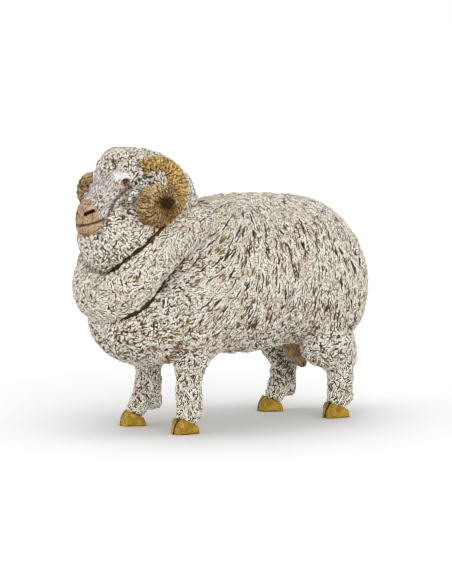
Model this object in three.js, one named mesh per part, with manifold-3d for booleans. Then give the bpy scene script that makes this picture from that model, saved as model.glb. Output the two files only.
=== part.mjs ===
// A woolly ram, a toy farm animal figure, in millimetres. It faces -Y, its left side is +X, +Z is up,
// and its four soles stand on Z = 0. The moulded pieces plug into each other: the head sits on a round
// tenon in the chest, each leg has a tenon in the belly, and the horns, ears, eyes, tail and pouch are
// sunk in pockets of their own. The wool fold round the neck is hollowed where the horns lie on it. Pieces
// keep a named clearance, where the real figure has its glue.
//
// The woolly shapes are skins. A skin is a capsule whose points are pushed out along their own rays
// until they meet the surface of several soft masses that melt into each other.

import * as THREE from "three";
import { mergeVertices } from "three/addons/utils/BufferGeometryUtils.js";
import Module from "manifold-3d";

const wasm = await Module();
wasm.setup();
const { lerp, smoothstep, clamp, degToRad } = THREE.MathUtils;

// Driving dimensions.

const fit = 0.3; // clearance between pieces that plug together

const body = { width: 41, length: 88, depth: 46, middle: -3, height: 43, melt: 2.2 };
const bodyMassShares = {
  barrel: { at: [0, 0.125, -0.017], reach: [1, 0.705, 0.996] },
  rump: { at: [0, 0.534, 0.017], reach: [0.937, 0.482, 0.887] },
  withers: { at: [0, -0.25, -0.017], reach: [0.951, 0.455, 0.913] },
  brisket: { at: [0, -0.648, -0.496], reach: [0.78, 0.364, 0.574] },
  haunch: { at: [0.439, 0.691, -0.283], reach: [0.498, 0.273, 0.739], pair: true },
  shoulder: { at: [0.537, -0.42, -0.348], reach: [0.463, 0.25, 0.696], pair: true },
};
const bodySpineShares = [-0.57, 0.66];

// The neck's middle, from the body's middle.
const neckPlace = { ahead: 30, rise: 18 };
const neck = {
  width: 29, length: 38, depth: 40, melt: 2,
  middle: body.middle - neckPlace.ahead, height: body.height + neckPlace.rise,
};
const neckMassShares = {
  throat: { at: [0, -0.021, -0.27], reach: [0.986, 1, 0.68] },
  nape: { at: [0, 0.211, 0.25], reach: [0.841, 0.668, 0.525] },
  topknot: { at: [0, -0.105, 0.655], reach: [0.614, 0.516, 0.23] },
  forelock: { at: [0, -0.305, 0.695], reach: [0.428, 0.316, 0.16] },
};
const neckSpineShares = [-0.35, 0.45];
const neckTenon = { radius: 7, length: 9, lean: degToRad(12) };

// The fold of wool round the neck. Its front lies ahead of the neck's middle, and its top just below it.
const collar = { width: 27.2, height: 20.8, length: 31.9, ahead: 11.4, drop: 2.2, thickness: 13.6 };
const collarPathShares = [
  // across, back from the front, down from the top, thickness
  [0.618, 1, 0.038, 0.53],
  [0.919, 0.702, 0, 0.735],
  [1, 0.42, 0.202, 0.824],
  [0.838, 0.194, 0.524, 0.897],
  [0.5, 0.044, 0.885, 1],
  [0, 0, 1, 1],
];
const collarEndShare = 0.45; // how thin the roll is at its two ends, as a share of its thickness there

// The face's middle, from the neck's middle.
const facePlace = { ahead: 9, rise: 5.5 };
const face = {
  width: 15, length: 22, depth: 22, melt: 1,
  middle: neck.middle - facePlace.ahead, height: neck.height + facePlace.rise,
};
const faceMassShares = {
  cranium: { at: [0, 0.4, 0.3], reach: [0.92, 0.764, 0.6] },
  bridge: { at: [0, -0.182, 0.136], reach: [0.613, 0.764, 0.355], pitch: degToRad(44) },
  muzzle: { at: [0, -0.636, -0.436], reach: [0.64, 0.364, 0.436] },
  jaw: { at: [0, -0.309, -0.591], reach: [0.747, 0.736, 0.4], pitch: degToRad(14) },
  cheek: { at: [0.627, 0.127, -0.191], reach: [0.573, 0.545, 0.527], pair: true },
  brow: { at: [0.627, 0.01, 0.536], reach: [0.293, 0.31, 0.182], pair: true },
};
const faceSpineShares = { back: [0.182, 0.182], front: [-0.545, -0.318] };

// The two horns aren't quite alike: the right one sits a little higher and further forward. Over the first
// bend a horn is deeper than it is thick, towards the middle of its coil.
const horn = {
  flareWidth: 9.6, coilRadius: 7, endCoilRadius: 2.6, rootThickness: 4.1, thickness: 6, deepening: 1.3,
  rootAhead: 0.8, endAhead: 2.7, rootHeight: 7.8, endHeight: 4.9,
  start: degToRad(126), sweep: degToRad(518), rightAhead: 0.3, rightLift: 1.7,
};
const hornShares = {
  // from where to where along the horn each change happens
  swell: [0.15, 0.55], taper: [0.6, 0.88], coil: [0.42, 0.85], forward: [0.2, 0.6], down: [0.3, 0.7],
  deepen: [0.1, 0.22], thin: [0.35, 0.55],
  root: 0.538, tip: 0.3, flarePower: 0.8,
};

const ear = {
  rootWidth: 14.8, ahead: 1.6, rise: 10.9, flareWidth: 2.6, length: 10.3, drop: 6.4,
  width: 3, thickness: 1.5,
};
const earBendShares = [1.15, 0.485, 0.453]; // the control point of its bow, of its flare, length and drop

const eye = { radius: 1.35, ahead: 0.6, rise: 4.4 };
const eyeSideShare = 0.787; // how far out of the face's half width it sits

const wheelbase = 54;
const legSpread = 22.4;
const legShares = {
  // the thigh, hip, knee, ankle and foot lie this far back of the body's zero, as shares of the wheelbase
  front_left: { side: 1, thigh: -0.437, hip: -0.444, knee: -0.452, ankle: -0.467, foot: -0.487, hind: 0 },
  front_right: { side: -1, thigh: -0.4, hip: -0.404, knee: -0.407, ankle: -0.481, foot: -0.511, hind: 0 },
  rear_left: { side: 1, thigh: 0.491, hip: 0.556, knee: 0.563, ankle: 0.544, foot: 0.524, hind: 1 },
  rear_right: { side: -1, thigh: 0.481, hip: 0.507, knee: 0.509, ankle: 0.452, foot: 0.413, hind: 1 },
};
const leg = {
  hipRise: 2, kneeHeight: 11.5, ankleHeight: 5, thighWidth: 12.4,
  thighLength: 9.6, thighDepth: 12.8, hindThighLength: 14.8, hindThighDepth: 16,
  topRadius: 4.2, kneeRadius: 3.35, ankleRadius: 3.15, flatShare: 0.92, melt: 1,
  tuftRadius: 1.7, tuftLength: 2.8, tuftBack: 2.9, tuftHeight: 6.5,
  hockWidth: 6, hockThickness: 3.6, hockLength: 6.8, hockBack: 3.6, hockDrop: 4.4,
  tenonRadius: 2.6, tenonSink: 6, tenonLength: 8,
};
const hipHeight = body.height - body.depth / 2 + leg.hipRise;
const rightToeOut = degToRad(24);

const hoof = {
  length: 6.9, toeHeight: 4.4, heelHeight: 2.3, toeSlopeLength: 1.9, heelSlopeLength: 0.3,
  clawWidth: 2.6, cleftWidth: 0.5, bevelWidth: 0.4, pegRadius: 1.3, pegLength: 2.6, pegOffset: 1.2,
};
const clawTipShare = 0.55; // how wide a claw still is at its toe
const webShare = 0.5; // how much of the hoof's length the web behind its cleft takes

// The tail's middle, from the body's rear end and its middle height.
const tail = { width: 7.2, thickness: 6, length: 16, inset: 0.2, rise: 3.5, lean: degToRad(-8) };

// The pouch's middle, from the body's middle and its underside.
const pouch = { width: 5.6, thickness: 4.6, length: 14.4, setback: 24.9, drop: 0.4, lean: degToRad(37) };

// The wool of the body and the neck parts in upright furrows, side by side. They sway, and each is deep and
// shallow by turns, out of step with its neighbours.
const furrow = { spacing: 5.6, depth: 0.9, swayWidth: 0.9, swayHeight: 13, lockHeight: 10, tuck: 8, crown: 6 };
const furrowShallowShare = 0.3; // how deep a furrow still is at its shallowest

// How many flat segments stand for each curve.
const segmentCounts = {
  bodySides: 64, bodyRings: 30, bodyCapRings: 14, neckSides: 44, neckRings: 9, neckCapRings: 12,
  faceSides: 26, faceRings: 6, faceCapRings: 8, legSides: 14, legRings: 8, legCapRings: 4,
  hornSides: 12, hornRings: 42, collarSides: 14, collarRings: 30, earSides: 10, earRings: 8,
  pinSides: 16, ballSides: 14, ballRings: 10, clawSegments: 3, halvings: 24,
};

// Soft masses and skins.

const vector = (x, y, z) => new THREE.Vector3(x, y, z);

// An ellipsoid: its centre, its reach along each axis, and its pitch about X.
const lump = (centre, reach, pitch = 0) => ({ centre, reach, pitch });

// A round limb that tapers from one end to the other, with its width along X as a share of its depth.
function limb(from, to, startRadius, endRadius, flatShare) {
  return { from, to, startRadius, endRadius, flatShare };
}

// The lumps of a block, each placed and sized by shares of half the block's width, length and depth.
function lumpsOf(block, massShares) {
  const half = vector(block.width / 2, block.length / 2, block.depth / 2);
  const centre = vector(0, block.middle, block.height);
  const made = [];
  for (const { at, reach, pitch = 0, pair } of Object.values(massShares)) {
    for (const side of pair ? [1, -1] : [1]) {
      const offset = vector(side * at[0], at[1], at[2]).multiply(half);
      made.push(lump(offset.add(centre), vector(...reach).multiply(half), pitch));
    }
  }
  return made;
}

function distanceToLump({ centre, reach, pitch }, point) {
  const local = point.clone().sub(centre).applyAxisAngle(vector(1, 0, 0), -pitch);
  const near = local.clone().divide(reach);
  const steep = near.clone().divide(reach);
  const size = near.length();
  return (size * (size - 1)) / Math.max(steep.length(), Number.EPSILON);
}

function distanceToLimb({ from, to, startRadius, endRadius, flatShare }, point) {
  const squeeze = vector(1 / flatShare, 1, 1);
  const offset = point.clone().sub(from).multiply(squeeze);
  const run = to.clone().sub(from).multiply(squeeze);
  const share = clamp(offset.dot(run) / run.lengthSq(), 0, 1);
  return offset.addScaledVector(run, -share).length() - lerp(startRadius, endRadius, share);
}

// The soft union of all the masses: near a junction they melt into each other over the length melt.
function distanceToMasses(masses, point, melt) {
  const each = masses.map((mass) => (mass.reach ? distanceToLump(mass, point) : distanceToLimb(mass, point)));
  const nearest = Math.min(...each);
  const total = each.reduce((sum, distance) => sum + Math.exp((nearest - distance) / melt), 0);
  return nearest - melt * Math.log(total);
}

// How deep a furrow is at a height, where turn counts the furrows by whole turns of 2 pi.
function furrowDepth(turn, height) {
  const sway = (furrow.swayWidth / furrow.spacing) * Math.sin((2 * Math.PI * height) / furrow.swayHeight);
  const phase = turn + 2 * Math.PI * sway;
  const deep = (1 + Math.sin((2 * Math.PI * height) / furrow.lockHeight + phase / 2)) / 2;
  return furrow.depth * lerp(furrowShallowShare, 1, deep) * ((1 + Math.cos(phase)) / 2) ** 2;
}

// The closed skin round the masses, seen from a spine inside them. It is grown outwards by grow, and dented
// by dent(point), a depth along the ray.
function skin(masses, { from, to, melt, around, along, cap, grow = 0, dent = () => 0 }) {
  const run = to.clone().sub(from);
  const geometry = new THREE.CapsuleGeometry(1, run.length(), cap, around, along);
  const turn = new THREE.Quaternion().setFromUnitVectors(vector(0, 1, 0), run.clone().normalize());
  const middle = from.clone().add(to).divideScalar(2);
  const sizeOf = (mass) => (mass.reach ? mass.reach.length() : mass.startRadius);
  const farthest = masses.reduce((most, mass) => most + sizeOf(mass), 0);
  const { position, normal } = geometry.attributes;
  for (let i = 0; i < position.count; i++) {
    const ray = vector(0, 0, 0).fromBufferAttribute(normal, i);
    const origin = vector(0, 0, 0).fromBufferAttribute(position, i).sub(ray);
    ray.applyQuaternion(turn);
    origin.applyQuaternion(turn).add(middle);
    let inside = 0;
    let outside = farthest;
    for (let step = 0; step < segmentCounts.halvings; step++) {
      const reach = (inside + outside) / 2;
      const here = origin.clone().addScaledVector(ray, reach);
      if (distanceToMasses(masses, here, melt) < grow) inside = reach;
      else outside = reach;
    }
    const met = origin.clone().addScaledVector(ray, inside);
    met.addScaledVector(ray, -dent(met));
    position.setXYZ(i, met.x, met.y, met.z);
  }
  return geometry;
}

// A closed cylinder bent along path(share). The path gives its centre, its reach along the reference and its
// width across that.
function bentTube(path, { around, along, reference, grow = 0 }) {
  const geometry = new THREE.CylinderGeometry(1, 1, 1, around, along);
  const { position } = geometry.attributes;
  const nudge = 1 / along / 4;
  for (let i = 0; i < position.count; i++) {
    const share = position.getY(i) + 1 / 2;
    const { centre, reach, width } = path(share);
    const ahead = path(Math.min(1, share + nudge)).centre;
    const behind = path(Math.max(0, share - nudge)).centre;
    const tangent = ahead.sub(behind).normalize();
    const inward = reference(centre).addScaledVector(tangent, -reference(centre).dot(tangent)).normalize();
    const across = tangent.clone().cross(inward);
    const end = share < nudge ? -grow : share > 1 - nudge ? grow : 0;
    const point = centre.addScaledVector(tangent, end);
    point.addScaledVector(inward, position.getZ(i) * (reach + grow));
    point.addScaledVector(across, position.getX(i) * (width + grow));
    position.setXYZ(i, point.x, point.y, point.z);
  }
  return geometry;
}

// Solids.

function toSolid(geometry) {
  const bare = new THREE.BufferGeometry().setAttribute("position", geometry.getAttribute("position").clone());
  bare.setIndex(geometry.index);
  const merged = mergeVertices(bare);
  return new wasm.Manifold(
    new wasm.Mesh({
      numProp: 3,
      vertProperties: merged.attributes.position.array,
      triVerts: new Uint32Array(merged.index.array),
    }),
  );
}

// The largest body of a solid: a cut can leave crumbs where two curved skins graze each other.
function largest(solid) {
  return solid.decompose().reduce((best, each) => (each.volume() > best.volume() ? each : best));
}

function toMesh(name, solid, material) {
  const { vertProperties, triVerts } = largest(solid).getMesh();
  const geometry = new THREE.BufferGeometry();
  geometry.setAttribute("position", new THREE.BufferAttribute(vertProperties, 3));
  geometry.setIndex(new THREE.BufferAttribute(triVerts, 1));
  const mesh = new THREE.Mesh(geometry, material);
  mesh.name = name;
  return mesh;
}

// A round pin from one point, along a direction.
function pin(from, direction, radius, length) {
  const geometry = new THREE.CylinderGeometry(radius, radius, length, segmentCounts.pinSides);
  geometry.translate(0, length / 2, 0);
  const turn = new THREE.Quaternion().setFromUnitVectors(vector(0, 1, 0), direction.clone().normalize());
  geometry.applyQuaternion(turn);
  return toSolid(geometry.translate(from.x, from.y, from.z));
}

function ellipsoid(centre, reach, pitch) {
  const geometry = new THREE.SphereGeometry(1, segmentCounts.ballSides, segmentCounts.ballRings);
  geometry.scale(reach.x, reach.y, reach.z).rotateX(pitch);
  return toSolid(geometry.translate(centre.x, centre.y, centre.z));
}

// The torso.

function collarPath(share) {
  const rows = collarPathShares;
  const front = neck.middle - collar.ahead;
  const top = neck.height - collar.drop;
  const back = rows.slice(0, -1).reverse();
  const mirrored = [...rows, ...back.map(([x, ...rest]) => [-x, ...rest])];
  const points = mirrored.map(([x, y, z]) =>
    vector((x * collar.width) / 2, front + y * collar.length, top - z * collar.height),
  );
  const radii = mirrored.map((row) => vector((row[3] * collar.thickness) / 2, 0, 0));
  const rounding = Math.sqrt(Math.max(collarEndShare ** 2, 1 - (2 * share - 1) ** 12));
  const radius = new THREE.CatmullRomCurve3(radii).getPoint(share).x * rounding;
  return { centre: new THREE.CatmullRomCurve3(points).getPoint(share), reach: radius, width: radius };
}

const collarSolid = (grow) =>
  toSolid(
    bentTube(collarPath, {
      around: segmentCounts.collarSides,
      along: segmentCounts.collarRings,
      reference: (centre) => vector(0, neck.middle, neck.height).sub(centre),
      grow,
    }),
  );

function torsoSolid(grow = 0) {
  const along = (share) => vector(0, body.middle + (share * body.length) / 2, body.height);
  const spine = bodySpineShares.map(along);
  // The furrows are counted along the flanks, and by angle round the two ends.
  const dent = (point) => {
    const beside = clamp(point.y, spine[0].y, spine[1].y);
    const angle = Math.atan2(point.y - beside, Math.abs(point.x) + furrow.tuck);
    const travelled = beside + (body.width / 2) * angle;
    return furrowDepth((2 * Math.PI * travelled) / furrow.spacing, point.z);
  };
  const barrel = skin(lumpsOf(body, bodyMassShares), {
    from: spine[0],
    to: spine[1],
    melt: body.melt,
    around: segmentCounts.bodySides,
    along: segmentCounts.bodyRings,
    cap: segmentCounts.bodyCapRings,
    grow,
    dent,
  });
  return toSolid(barrel).add(collarSolid(grow));
}

// The head.

function neckSolid() {
  const ends = neckSpineShares.map((share) => vector(0, neck.middle, neck.height + (share * neck.depth) / 2));
  const furrows = Math.round((Math.PI * neck.length) / furrow.spacing);
  // The furrows run down all round, and fade out towards the crown.
  const dent = (point) => {
    const [aside, back] = [point.x, point.y - neck.middle];
    const fade = smoothstep(Math.hypot(aside, back), 0, furrow.crown);
    return fade * furrowDepth(furrows * Math.atan2(aside, -back), point.z);
  };
  return toSolid(
    skin(lumpsOf(neck, neckMassShares), {
      from: ends[0],
      to: ends[1],
      melt: neck.melt,
      around: segmentCounts.neckSides,
      along: segmentCounts.neckRings,
      cap: segmentCounts.neckCapRings,
      dent,
    }),
  );
}

function faceSolid() {
  const at = ([y, z]) => vector(0, face.middle + (y * face.length) / 2, face.height + (z * face.depth) / 2);
  return toSolid(
    skin(lumpsOf(face, faceMassShares), {
      from: at(faceSpineShares.back),
      to: at(faceSpineShares.front),
      melt: face.melt,
      around: segmentCounts.faceSides,
      along: segmentCounts.faceRings,
      cap: segmentCounts.faceCapRings,
    }),
  );
}

function neckTenonSolid(grow = 0) {
  const top = vector(0, neck.middle, neck.height - neck.depth / 4);
  const down = vector(0, 0, -1).applyAxisAngle(vector(1, 0, 0), -neckTenon.lean);
  const length = neck.depth / 4 + neckTenon.length + grow;
  return pin(top, down, neckTenon.radius + grow, length);
}

// Horns, ears and eyes.

// The coil of a horn: it runs up and back from the brow, down, forwards and up again, and flares outwards.
function hornPath(side, share) {
  const during = ([from, to]) => smoothstep(share, from, to);
  const angle = horn.start - horn.sweep * share;
  const coil = lerp(horn.coilRadius, horn.endCoilRadius, during(hornShares.coil));
  const thickness = lerp(horn.rootThickness, horn.thickness, during(hornShares.swell));
  const radius = (thickness / 2) * lerp(1, hornShares.tip, during(hornShares.taper));
  const deepening = horn.deepening * during(hornShares.deepen) * (1 - during(hornShares.thin));
  const offset = side < 0 ? horn.rightAhead : 0;
  const lift = side < 0 ? horn.rightLift : 0;
  const ahead = lerp(horn.rootAhead, horn.endAhead, during(hornShares.forward)) + offset;
  const height = lerp(horn.rootHeight, horn.endHeight, during(hornShares.down)) + lift;
  const out = (hornShares.root * neck.width) / 2 + horn.flareWidth * share ** hornShares.flarePower;
  const centre = vector(
    side * out,
    neck.middle - ahead + (coil - deepening) * Math.cos(angle),
    neck.height + height + (coil - deepening) * Math.sin(angle),
  );
  return { centre, reach: radius, width: radius + deepening };
}

const hornSolid = (side, grow = 0) =>
  toSolid(
    bentTube((share) => hornPath(side, share), {
      around: segmentCounts.hornSides,
      along: segmentCounts.hornRings,
      reference: () => vector(1, 0, 0),
      grow,
    }),
  );

// A leaf: flat and pointed, widest in its middle.
function earPath(side, share) {
  const [flare, length, drop] = earBendShares;
  const root = vector((side * ear.rootWidth) / 2, neck.middle - ear.ahead, neck.height + ear.rise);
  const bow = vector(side * ear.flareWidth * flare, -ear.length * length, -ear.drop * drop);
  const bend = root.clone().add(bow);
  const tip = root.clone().add(vector(side * ear.flareWidth, -ear.length, -ear.drop));
  return {
    centre: new THREE.QuadraticBezierCurve3(root, bend, tip).getPoint(share),
    reach: (ear.thickness / 2) * lerp(1, 0.5, share),
    width: (ear.width / 2) * Math.sin(Math.PI * lerp(0.14, 0.95, share)),
  };
}

const earSolid = (side, grow = 0) =>
  toSolid(
    bentTube((share) => earPath(side, share), {
      around: segmentCounts.earSides,
      along: segmentCounts.earRings,
      reference: () => vector(1, 0, 0),
      grow,
    }),
  );

function eyeSolid(side, grow = 0) {
  const radius = eye.radius + grow;
  const out = (eyeSideShare * face.width) / 2;
  const centre = vector(side * out, face.middle - eye.ahead, face.height + eye.rise);
  return ellipsoid(centre, vector(radius, radius, radius), 0);
}

// Legs and hooves.

const footPlace = (row) => vector((row.side * legSpread) / 2, row.foot * wheelbase, 0);

function legSolid(row) {
  const x = (row.side * legSpread) / 2;
  const thigh = vector(x, row.thigh * wheelbase, hipHeight);
  const hip = vector(x, row.hip * wheelbase, hipHeight);
  const knee = vector(x, row.knee * wheelbase, leg.kneeHeight);
  const ankle = vector(x, row.ankle * wheelbase, leg.ankleHeight);
  const tuft = vector(x, knee.y + leg.tuftBack, leg.tuftHeight);
  const thighLength = row.hind ? leg.hindThighLength : leg.thighLength;
  const thighDepth = row.hind ? leg.hindThighDepth : leg.thighDepth;
  const masses = [
    lump(thigh, vector(leg.thighWidth / 2, thighLength / 2, thighDepth / 2)),
    limb(hip, knee, leg.topRadius, leg.kneeRadius, leg.flatShare),
    limb(knee, ankle, leg.kneeRadius, leg.ankleRadius, leg.flatShare),
    lump(tuft, vector(leg.tuftRadius, leg.tuftRadius, leg.tuftLength)),
  ];
  if (row.hind) {
    const hock = vector(x, hip.y + leg.hockBack, hip.z - leg.hockDrop);
    masses.push(lump(hock, vector(leg.hockWidth / 2, leg.hockThickness / 2, leg.hockLength / 2)));
  }
  return toSolid(
    skin(masses, {
      from: hip,
      to: ankle,
      melt: leg.melt,
      around: segmentCounts.legSides,
      along: segmentCounts.legRings,
      cap: segmentCounts.legCapRings,
    }),
  );
}

function legTenon(row, grow = 0) {
  const foot = vector((row.side * legSpread) / 2, row.hip * wheelbase, hipHeight - leg.tenonSink);
  return pin(foot, vector(0, 0, 1), leg.tenonRadius + grow, leg.tenonSink + leg.tenonLength + grow);
}

// One claw: its side profile drawn out sideways, then narrowed towards the toe.
function clawSolid(side) {
  const toe = -hoof.length / 2;
  const profile = new THREE.Shape();
  profile.moveTo(toe, 0);
  profile.quadraticCurveTo(toe, hoof.toeHeight / 2, toe + hoof.toeSlopeLength, hoof.toeHeight);
  profile.lineTo(-toe - hoof.heelSlopeLength, hoof.heelHeight);
  profile.quadraticCurveTo(-toe, hoof.heelHeight / 2, -toe - hoof.heelSlopeLength, 0);
  const geometry = new THREE.ExtrudeGeometry(profile, {
    depth: hoof.clawWidth - 2 * hoof.bevelWidth,
    bevelThickness: hoof.bevelWidth,
    bevelSize: hoof.bevelWidth,
    bevelOffset: -hoof.bevelWidth,
    bevelSegments: 1,
    curveSegments: segmentCounts.clawSegments,
  });
  // The profile's first axis becomes Y, its second Z, and its depth X.
  geometry.applyMatrix4(new THREE.Matrix4().set(0, 0, 1, 0, 1, 0, 0, 0, 0, 1, 0, 0, 0, 0, 0, 1));
  const inner = hoof.bevelWidth + hoof.cleftWidth / 2;
  const { position } = geometry.attributes;
  for (let i = 0; i < position.count; i++) {
    const x = position.getX(i) + hoof.bevelWidth;
    const forward = clamp((-position.getY(i) * 2) / hoof.length, 0, 1);
    position.setX(i, side * (inner - hoof.bevelWidth + x * lerp(1, clawTipShare, forward ** 2)));
  }
  if (side < 0) turnFaces(geometry);
  return toSolid(geometry);
}

// Turns every face round, after a mirroring.
function turnFaces(geometry) {
  const { position } = geometry.attributes;
  const [a, b] = [vector(0, 0, 0), vector(0, 0, 0)];
  for (let i = 0; i < position.count; i += 3) {
    a.fromBufferAttribute(position, i);
    b.fromBufferAttribute(position, i + 1);
    position.setXYZ(i, b.x, b.y, b.z);
    position.setXYZ(i + 1, a.x, a.y, a.z);
  }
}

// The slope of the coronet, where the wool of the leg ends on the hoof.
const coronetRun = hoof.length - hoof.toeSlopeLength - hoof.heelSlopeLength;
const coronetSlope = Math.atan2(hoof.toeHeight - hoof.heelHeight, coronetRun);
const coronetTurn = new THREE.Quaternion().setFromAxisAngle(vector(1, 0, 0), -coronetSlope);

// The middle of the hoof's sloping top, in the hoof's own frame.
const coronetMiddle = vector(
  0,
  (hoof.toeSlopeLength - hoof.heelSlopeLength) / 2,
  (hoof.toeHeight + hoof.heelHeight) / 2,
);

function inFootFrame(row, solid) {
  const turn = new THREE.Matrix4().makeRotationZ(row.side < 0 ? -rightToeOut : 0);
  turn.setPosition(footPlace(row));
  return solid.transform(turn.elements);
}

function hoofPeg(row, grow = 0) {
  const from = vector(0, coronetMiddle.y + hoof.pegOffset, hoof.heelHeight / 2);
  const length = hoof.toeHeight + hoof.pegLength - from.z;
  return inFootFrame(row, pin(from, vector(0, 0, 1), hoof.pegRadius + grow, length + grow));
}

function hoofSolid(row) {
  const webHeight = hoof.heelHeight - 2 * hoof.bevelWidth;
  const web = new THREE.BoxGeometry(hoof.clawWidth, hoof.length * webShare, webHeight);
  const back = hoof.length / 2 - hoof.heelSlopeLength - hoof.bevelWidth;
  web.translate(0, back - (hoof.length * webShare) / 2, hoof.heelHeight / 2);
  const claws = clawSolid(1).add(clawSolid(-1)).add(toSolid(web));
  return inFootFrame(row, claws).add(hoofPeg(row));
}

// All that lies below the coronet, from which the leg's wool is trimmed.
function belowCoronet(row) {
  const size = 4 * hoof.length;
  const slab = new THREE.BoxGeometry(size, size, size);
  slab.translate(0, 0, fit - size / 2).applyQuaternion(coronetTurn);
  slab.translate(coronetMiddle.x, coronetMiddle.y, coronetMiddle.z);
  return inFootFrame(row, toSolid(slab));
}

// The tail and the pouch.

const tailSolid = (grow = 0) =>
  ellipsoid(
    vector(0, body.middle + body.length / 2 - tail.inset, body.height + tail.rise),
    vector(tail.width / 2 + grow, tail.thickness / 2 + grow, tail.length / 2 + grow),
    tail.lean,
  );

const pouchSolid = (grow = 0) =>
  ellipsoid(
    vector(0, body.middle + pouch.setback, body.height - body.depth / 2 - pouch.drop),
    vector(pouch.width / 2 + grow, pouch.thickness / 2 + grow, pouch.length / 2 + grow),
    pouch.lean,
  );

// Finishes.

function finish(colour, roughness) {
  return new THREE.MeshStandardMaterial({ color: colour, roughness, metalness: 0 });
}

const finishes = {
  wool: finish(0xd8d0c0, 0.75),
  head: finish(0xd6cabb, 0.7),
  horn: finish(0xb89455, 0.6),
  ear: finish(0xc4b8a8, 0.75),
  eye: finish(0x2a1d10, 0.15),
  hoof: finish(0xa98a2c, 0.45),
  skin: finish(0x8f7c67, 0.65),
};

// The assembly.

function assemble() {
  const ram = new THREE.Group();
  const add = (name, solid, material) => ram.add(toMesh(name, solid, material));
  const sides = { left: 1, right: -1 };
  const seat = torsoSolid(fit);

  let torso = torsoSolid();
  torso = torso.subtract(neckTenonSolid(fit)).subtract(tailSolid(fit)).subtract(pouchSolid(fit));
  let head = neckSolid().subtract(seat).add(neckTenonSolid()).add(faceSolid());

  for (const [name, side] of Object.entries(sides)) {
    const hornRoom = hornSolid(side, fit);
    head = head.subtract(hornRoom).subtract(earSolid(side, fit)).subtract(eyeSolid(side, fit));
    torso = torso.subtract(hornRoom);
    add(`horn_${name}`, hornSolid(side), finishes.horn);
    add(`ear_${name}`, earSolid(side), finishes.ear);
    add(`eye_${name}`, eyeSolid(side), finishes.eye);
  }

  for (const [name, row] of Object.entries(legShares)) {
    torso = torso.subtract(legTenon(row, fit));
    const trimmed = legSolid(row).subtract(seat).subtract(belowCoronet(row));
    add(`leg_${name}`, trimmed.add(legTenon(row)).subtract(hoofPeg(row, fit)), finishes.wool);
    add(`hoof_${name}`, hoofSolid(row), finishes.hoof);
  }

  add("torso", torso, finishes.wool);
  add("head", head, finishes.head);
  add("tail", tailSolid(), finishes.wool);
  add("pouch", pouchSolid(), finishes.skin);
  return ram;
}

// Sets the figure so that the middle of its outline is over the origin and it stands on Z = 0.
function centre(group) {
  const box = new THREE.Box3().setFromObject(group);
  const middle = box.getCenter(vector(0, 0, 0));
  group.position.set(-middle.x, -middle.y, -box.min.z);
  return group;
}

export default centre(assemble());
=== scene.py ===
"""A woolly ram, a moulded and painted toy farm animal figure, dressed for pictures.

Every piece is a grid of points worked out with numpy, in millimetres and in the figure's own frame: it
faces -Y, its left side is +X, and its soles stand on Z = 0. The wool is a soft skin with cuts traced over
it, and each cut is both carved into the surface and painted by the material.
"""

import math

import bpy
import numpy as np
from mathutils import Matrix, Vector


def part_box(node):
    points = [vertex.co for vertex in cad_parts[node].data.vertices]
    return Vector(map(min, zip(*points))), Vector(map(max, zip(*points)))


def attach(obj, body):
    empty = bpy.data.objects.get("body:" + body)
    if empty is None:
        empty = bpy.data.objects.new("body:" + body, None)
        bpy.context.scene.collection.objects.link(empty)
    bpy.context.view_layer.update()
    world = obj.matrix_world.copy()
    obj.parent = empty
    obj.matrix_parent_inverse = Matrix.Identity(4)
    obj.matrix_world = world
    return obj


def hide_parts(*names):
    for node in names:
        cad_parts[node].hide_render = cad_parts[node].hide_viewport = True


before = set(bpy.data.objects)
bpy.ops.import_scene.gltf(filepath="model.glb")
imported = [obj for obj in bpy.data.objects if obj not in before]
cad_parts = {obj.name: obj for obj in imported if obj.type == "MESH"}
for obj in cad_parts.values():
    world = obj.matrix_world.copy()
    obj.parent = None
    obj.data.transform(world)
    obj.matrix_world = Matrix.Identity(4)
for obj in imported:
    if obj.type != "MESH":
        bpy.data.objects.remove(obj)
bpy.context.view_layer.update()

MILLIMETRE = 0.001
FURROW_SPACING = 5.6
MARK_REACH = 0.6
HALVINGS = 18
LEFT_EYE = np.array([5.9, -42.6, 70.9])

# The figure's own origin in the shared frame, found from the box of its left eye.
eye_low, eye_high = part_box("eye_left")
FIGURE_ORIGIN = (np.array(eye_low) + np.array(eye_high)) / 2 / MILLIMETRE - LEFT_EYE


# Numbers over whole arrays.


def unit(vectors):
    """Each vector divided by its own length."""
    return vectors / np.maximum(np.linalg.norm(vectors, axis=-1, keepdims=True), 1e-9)


def dot(first, second):
    """The product of two lists of vectors, vector by vector."""
    return (first * second).sum(-1)


def ramp(values, start, end):
    """0 before start, 1 after end, and a smooth S between them."""
    share = np.clip((values - start) / (end - start), 0, 1)
    return share * share * (3 - 2 * share)


def blend(first, second, share):
    """The first value where the share is 0, the second where it is 1."""
    return first + (second - first) * share


def bell(distance, width):
    """A soft bump: 1 at no distance, falling off over the width."""
    return np.exp(-((distance / width) ** 2))


def noise(points, size, seed):
    """Smooth random heights from -1 to 1. Each corner of a cubic lattice, one size apart, takes its height
    from a hash of its place, and a point blends the eight corners round it by smooth weights."""
    place = points / size + 512.37 + 19.7 * seed
    cell = np.floor(place).astype(np.int64)
    part = place - cell
    weight = part**3 * (part * (part * 6 - 15) + 10)
    total = np.zeros(points.shape[:-1])
    for corner in range(8):
        step = np.array([corner & 1, corner >> 1 & 1, corner >> 2 & 1])
        key = (cell + step) @ np.array([73856093, 19349663, 83492791]) + 7919 * seed
        key = (key ^ (key >> 13)) * 1274126177
        key = key ^ (key >> 16)
        height = (key & 0xFFFF) / 32767.5 - 1
        total += height * np.prod(np.where(step == 1, weight, 1 - weight), axis=-1)
    return total


def ring_angles(columns):
    """The angles of a ring's columns, from 0 round."""
    return np.arange(columns) * 2 * math.pi / columns


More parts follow.
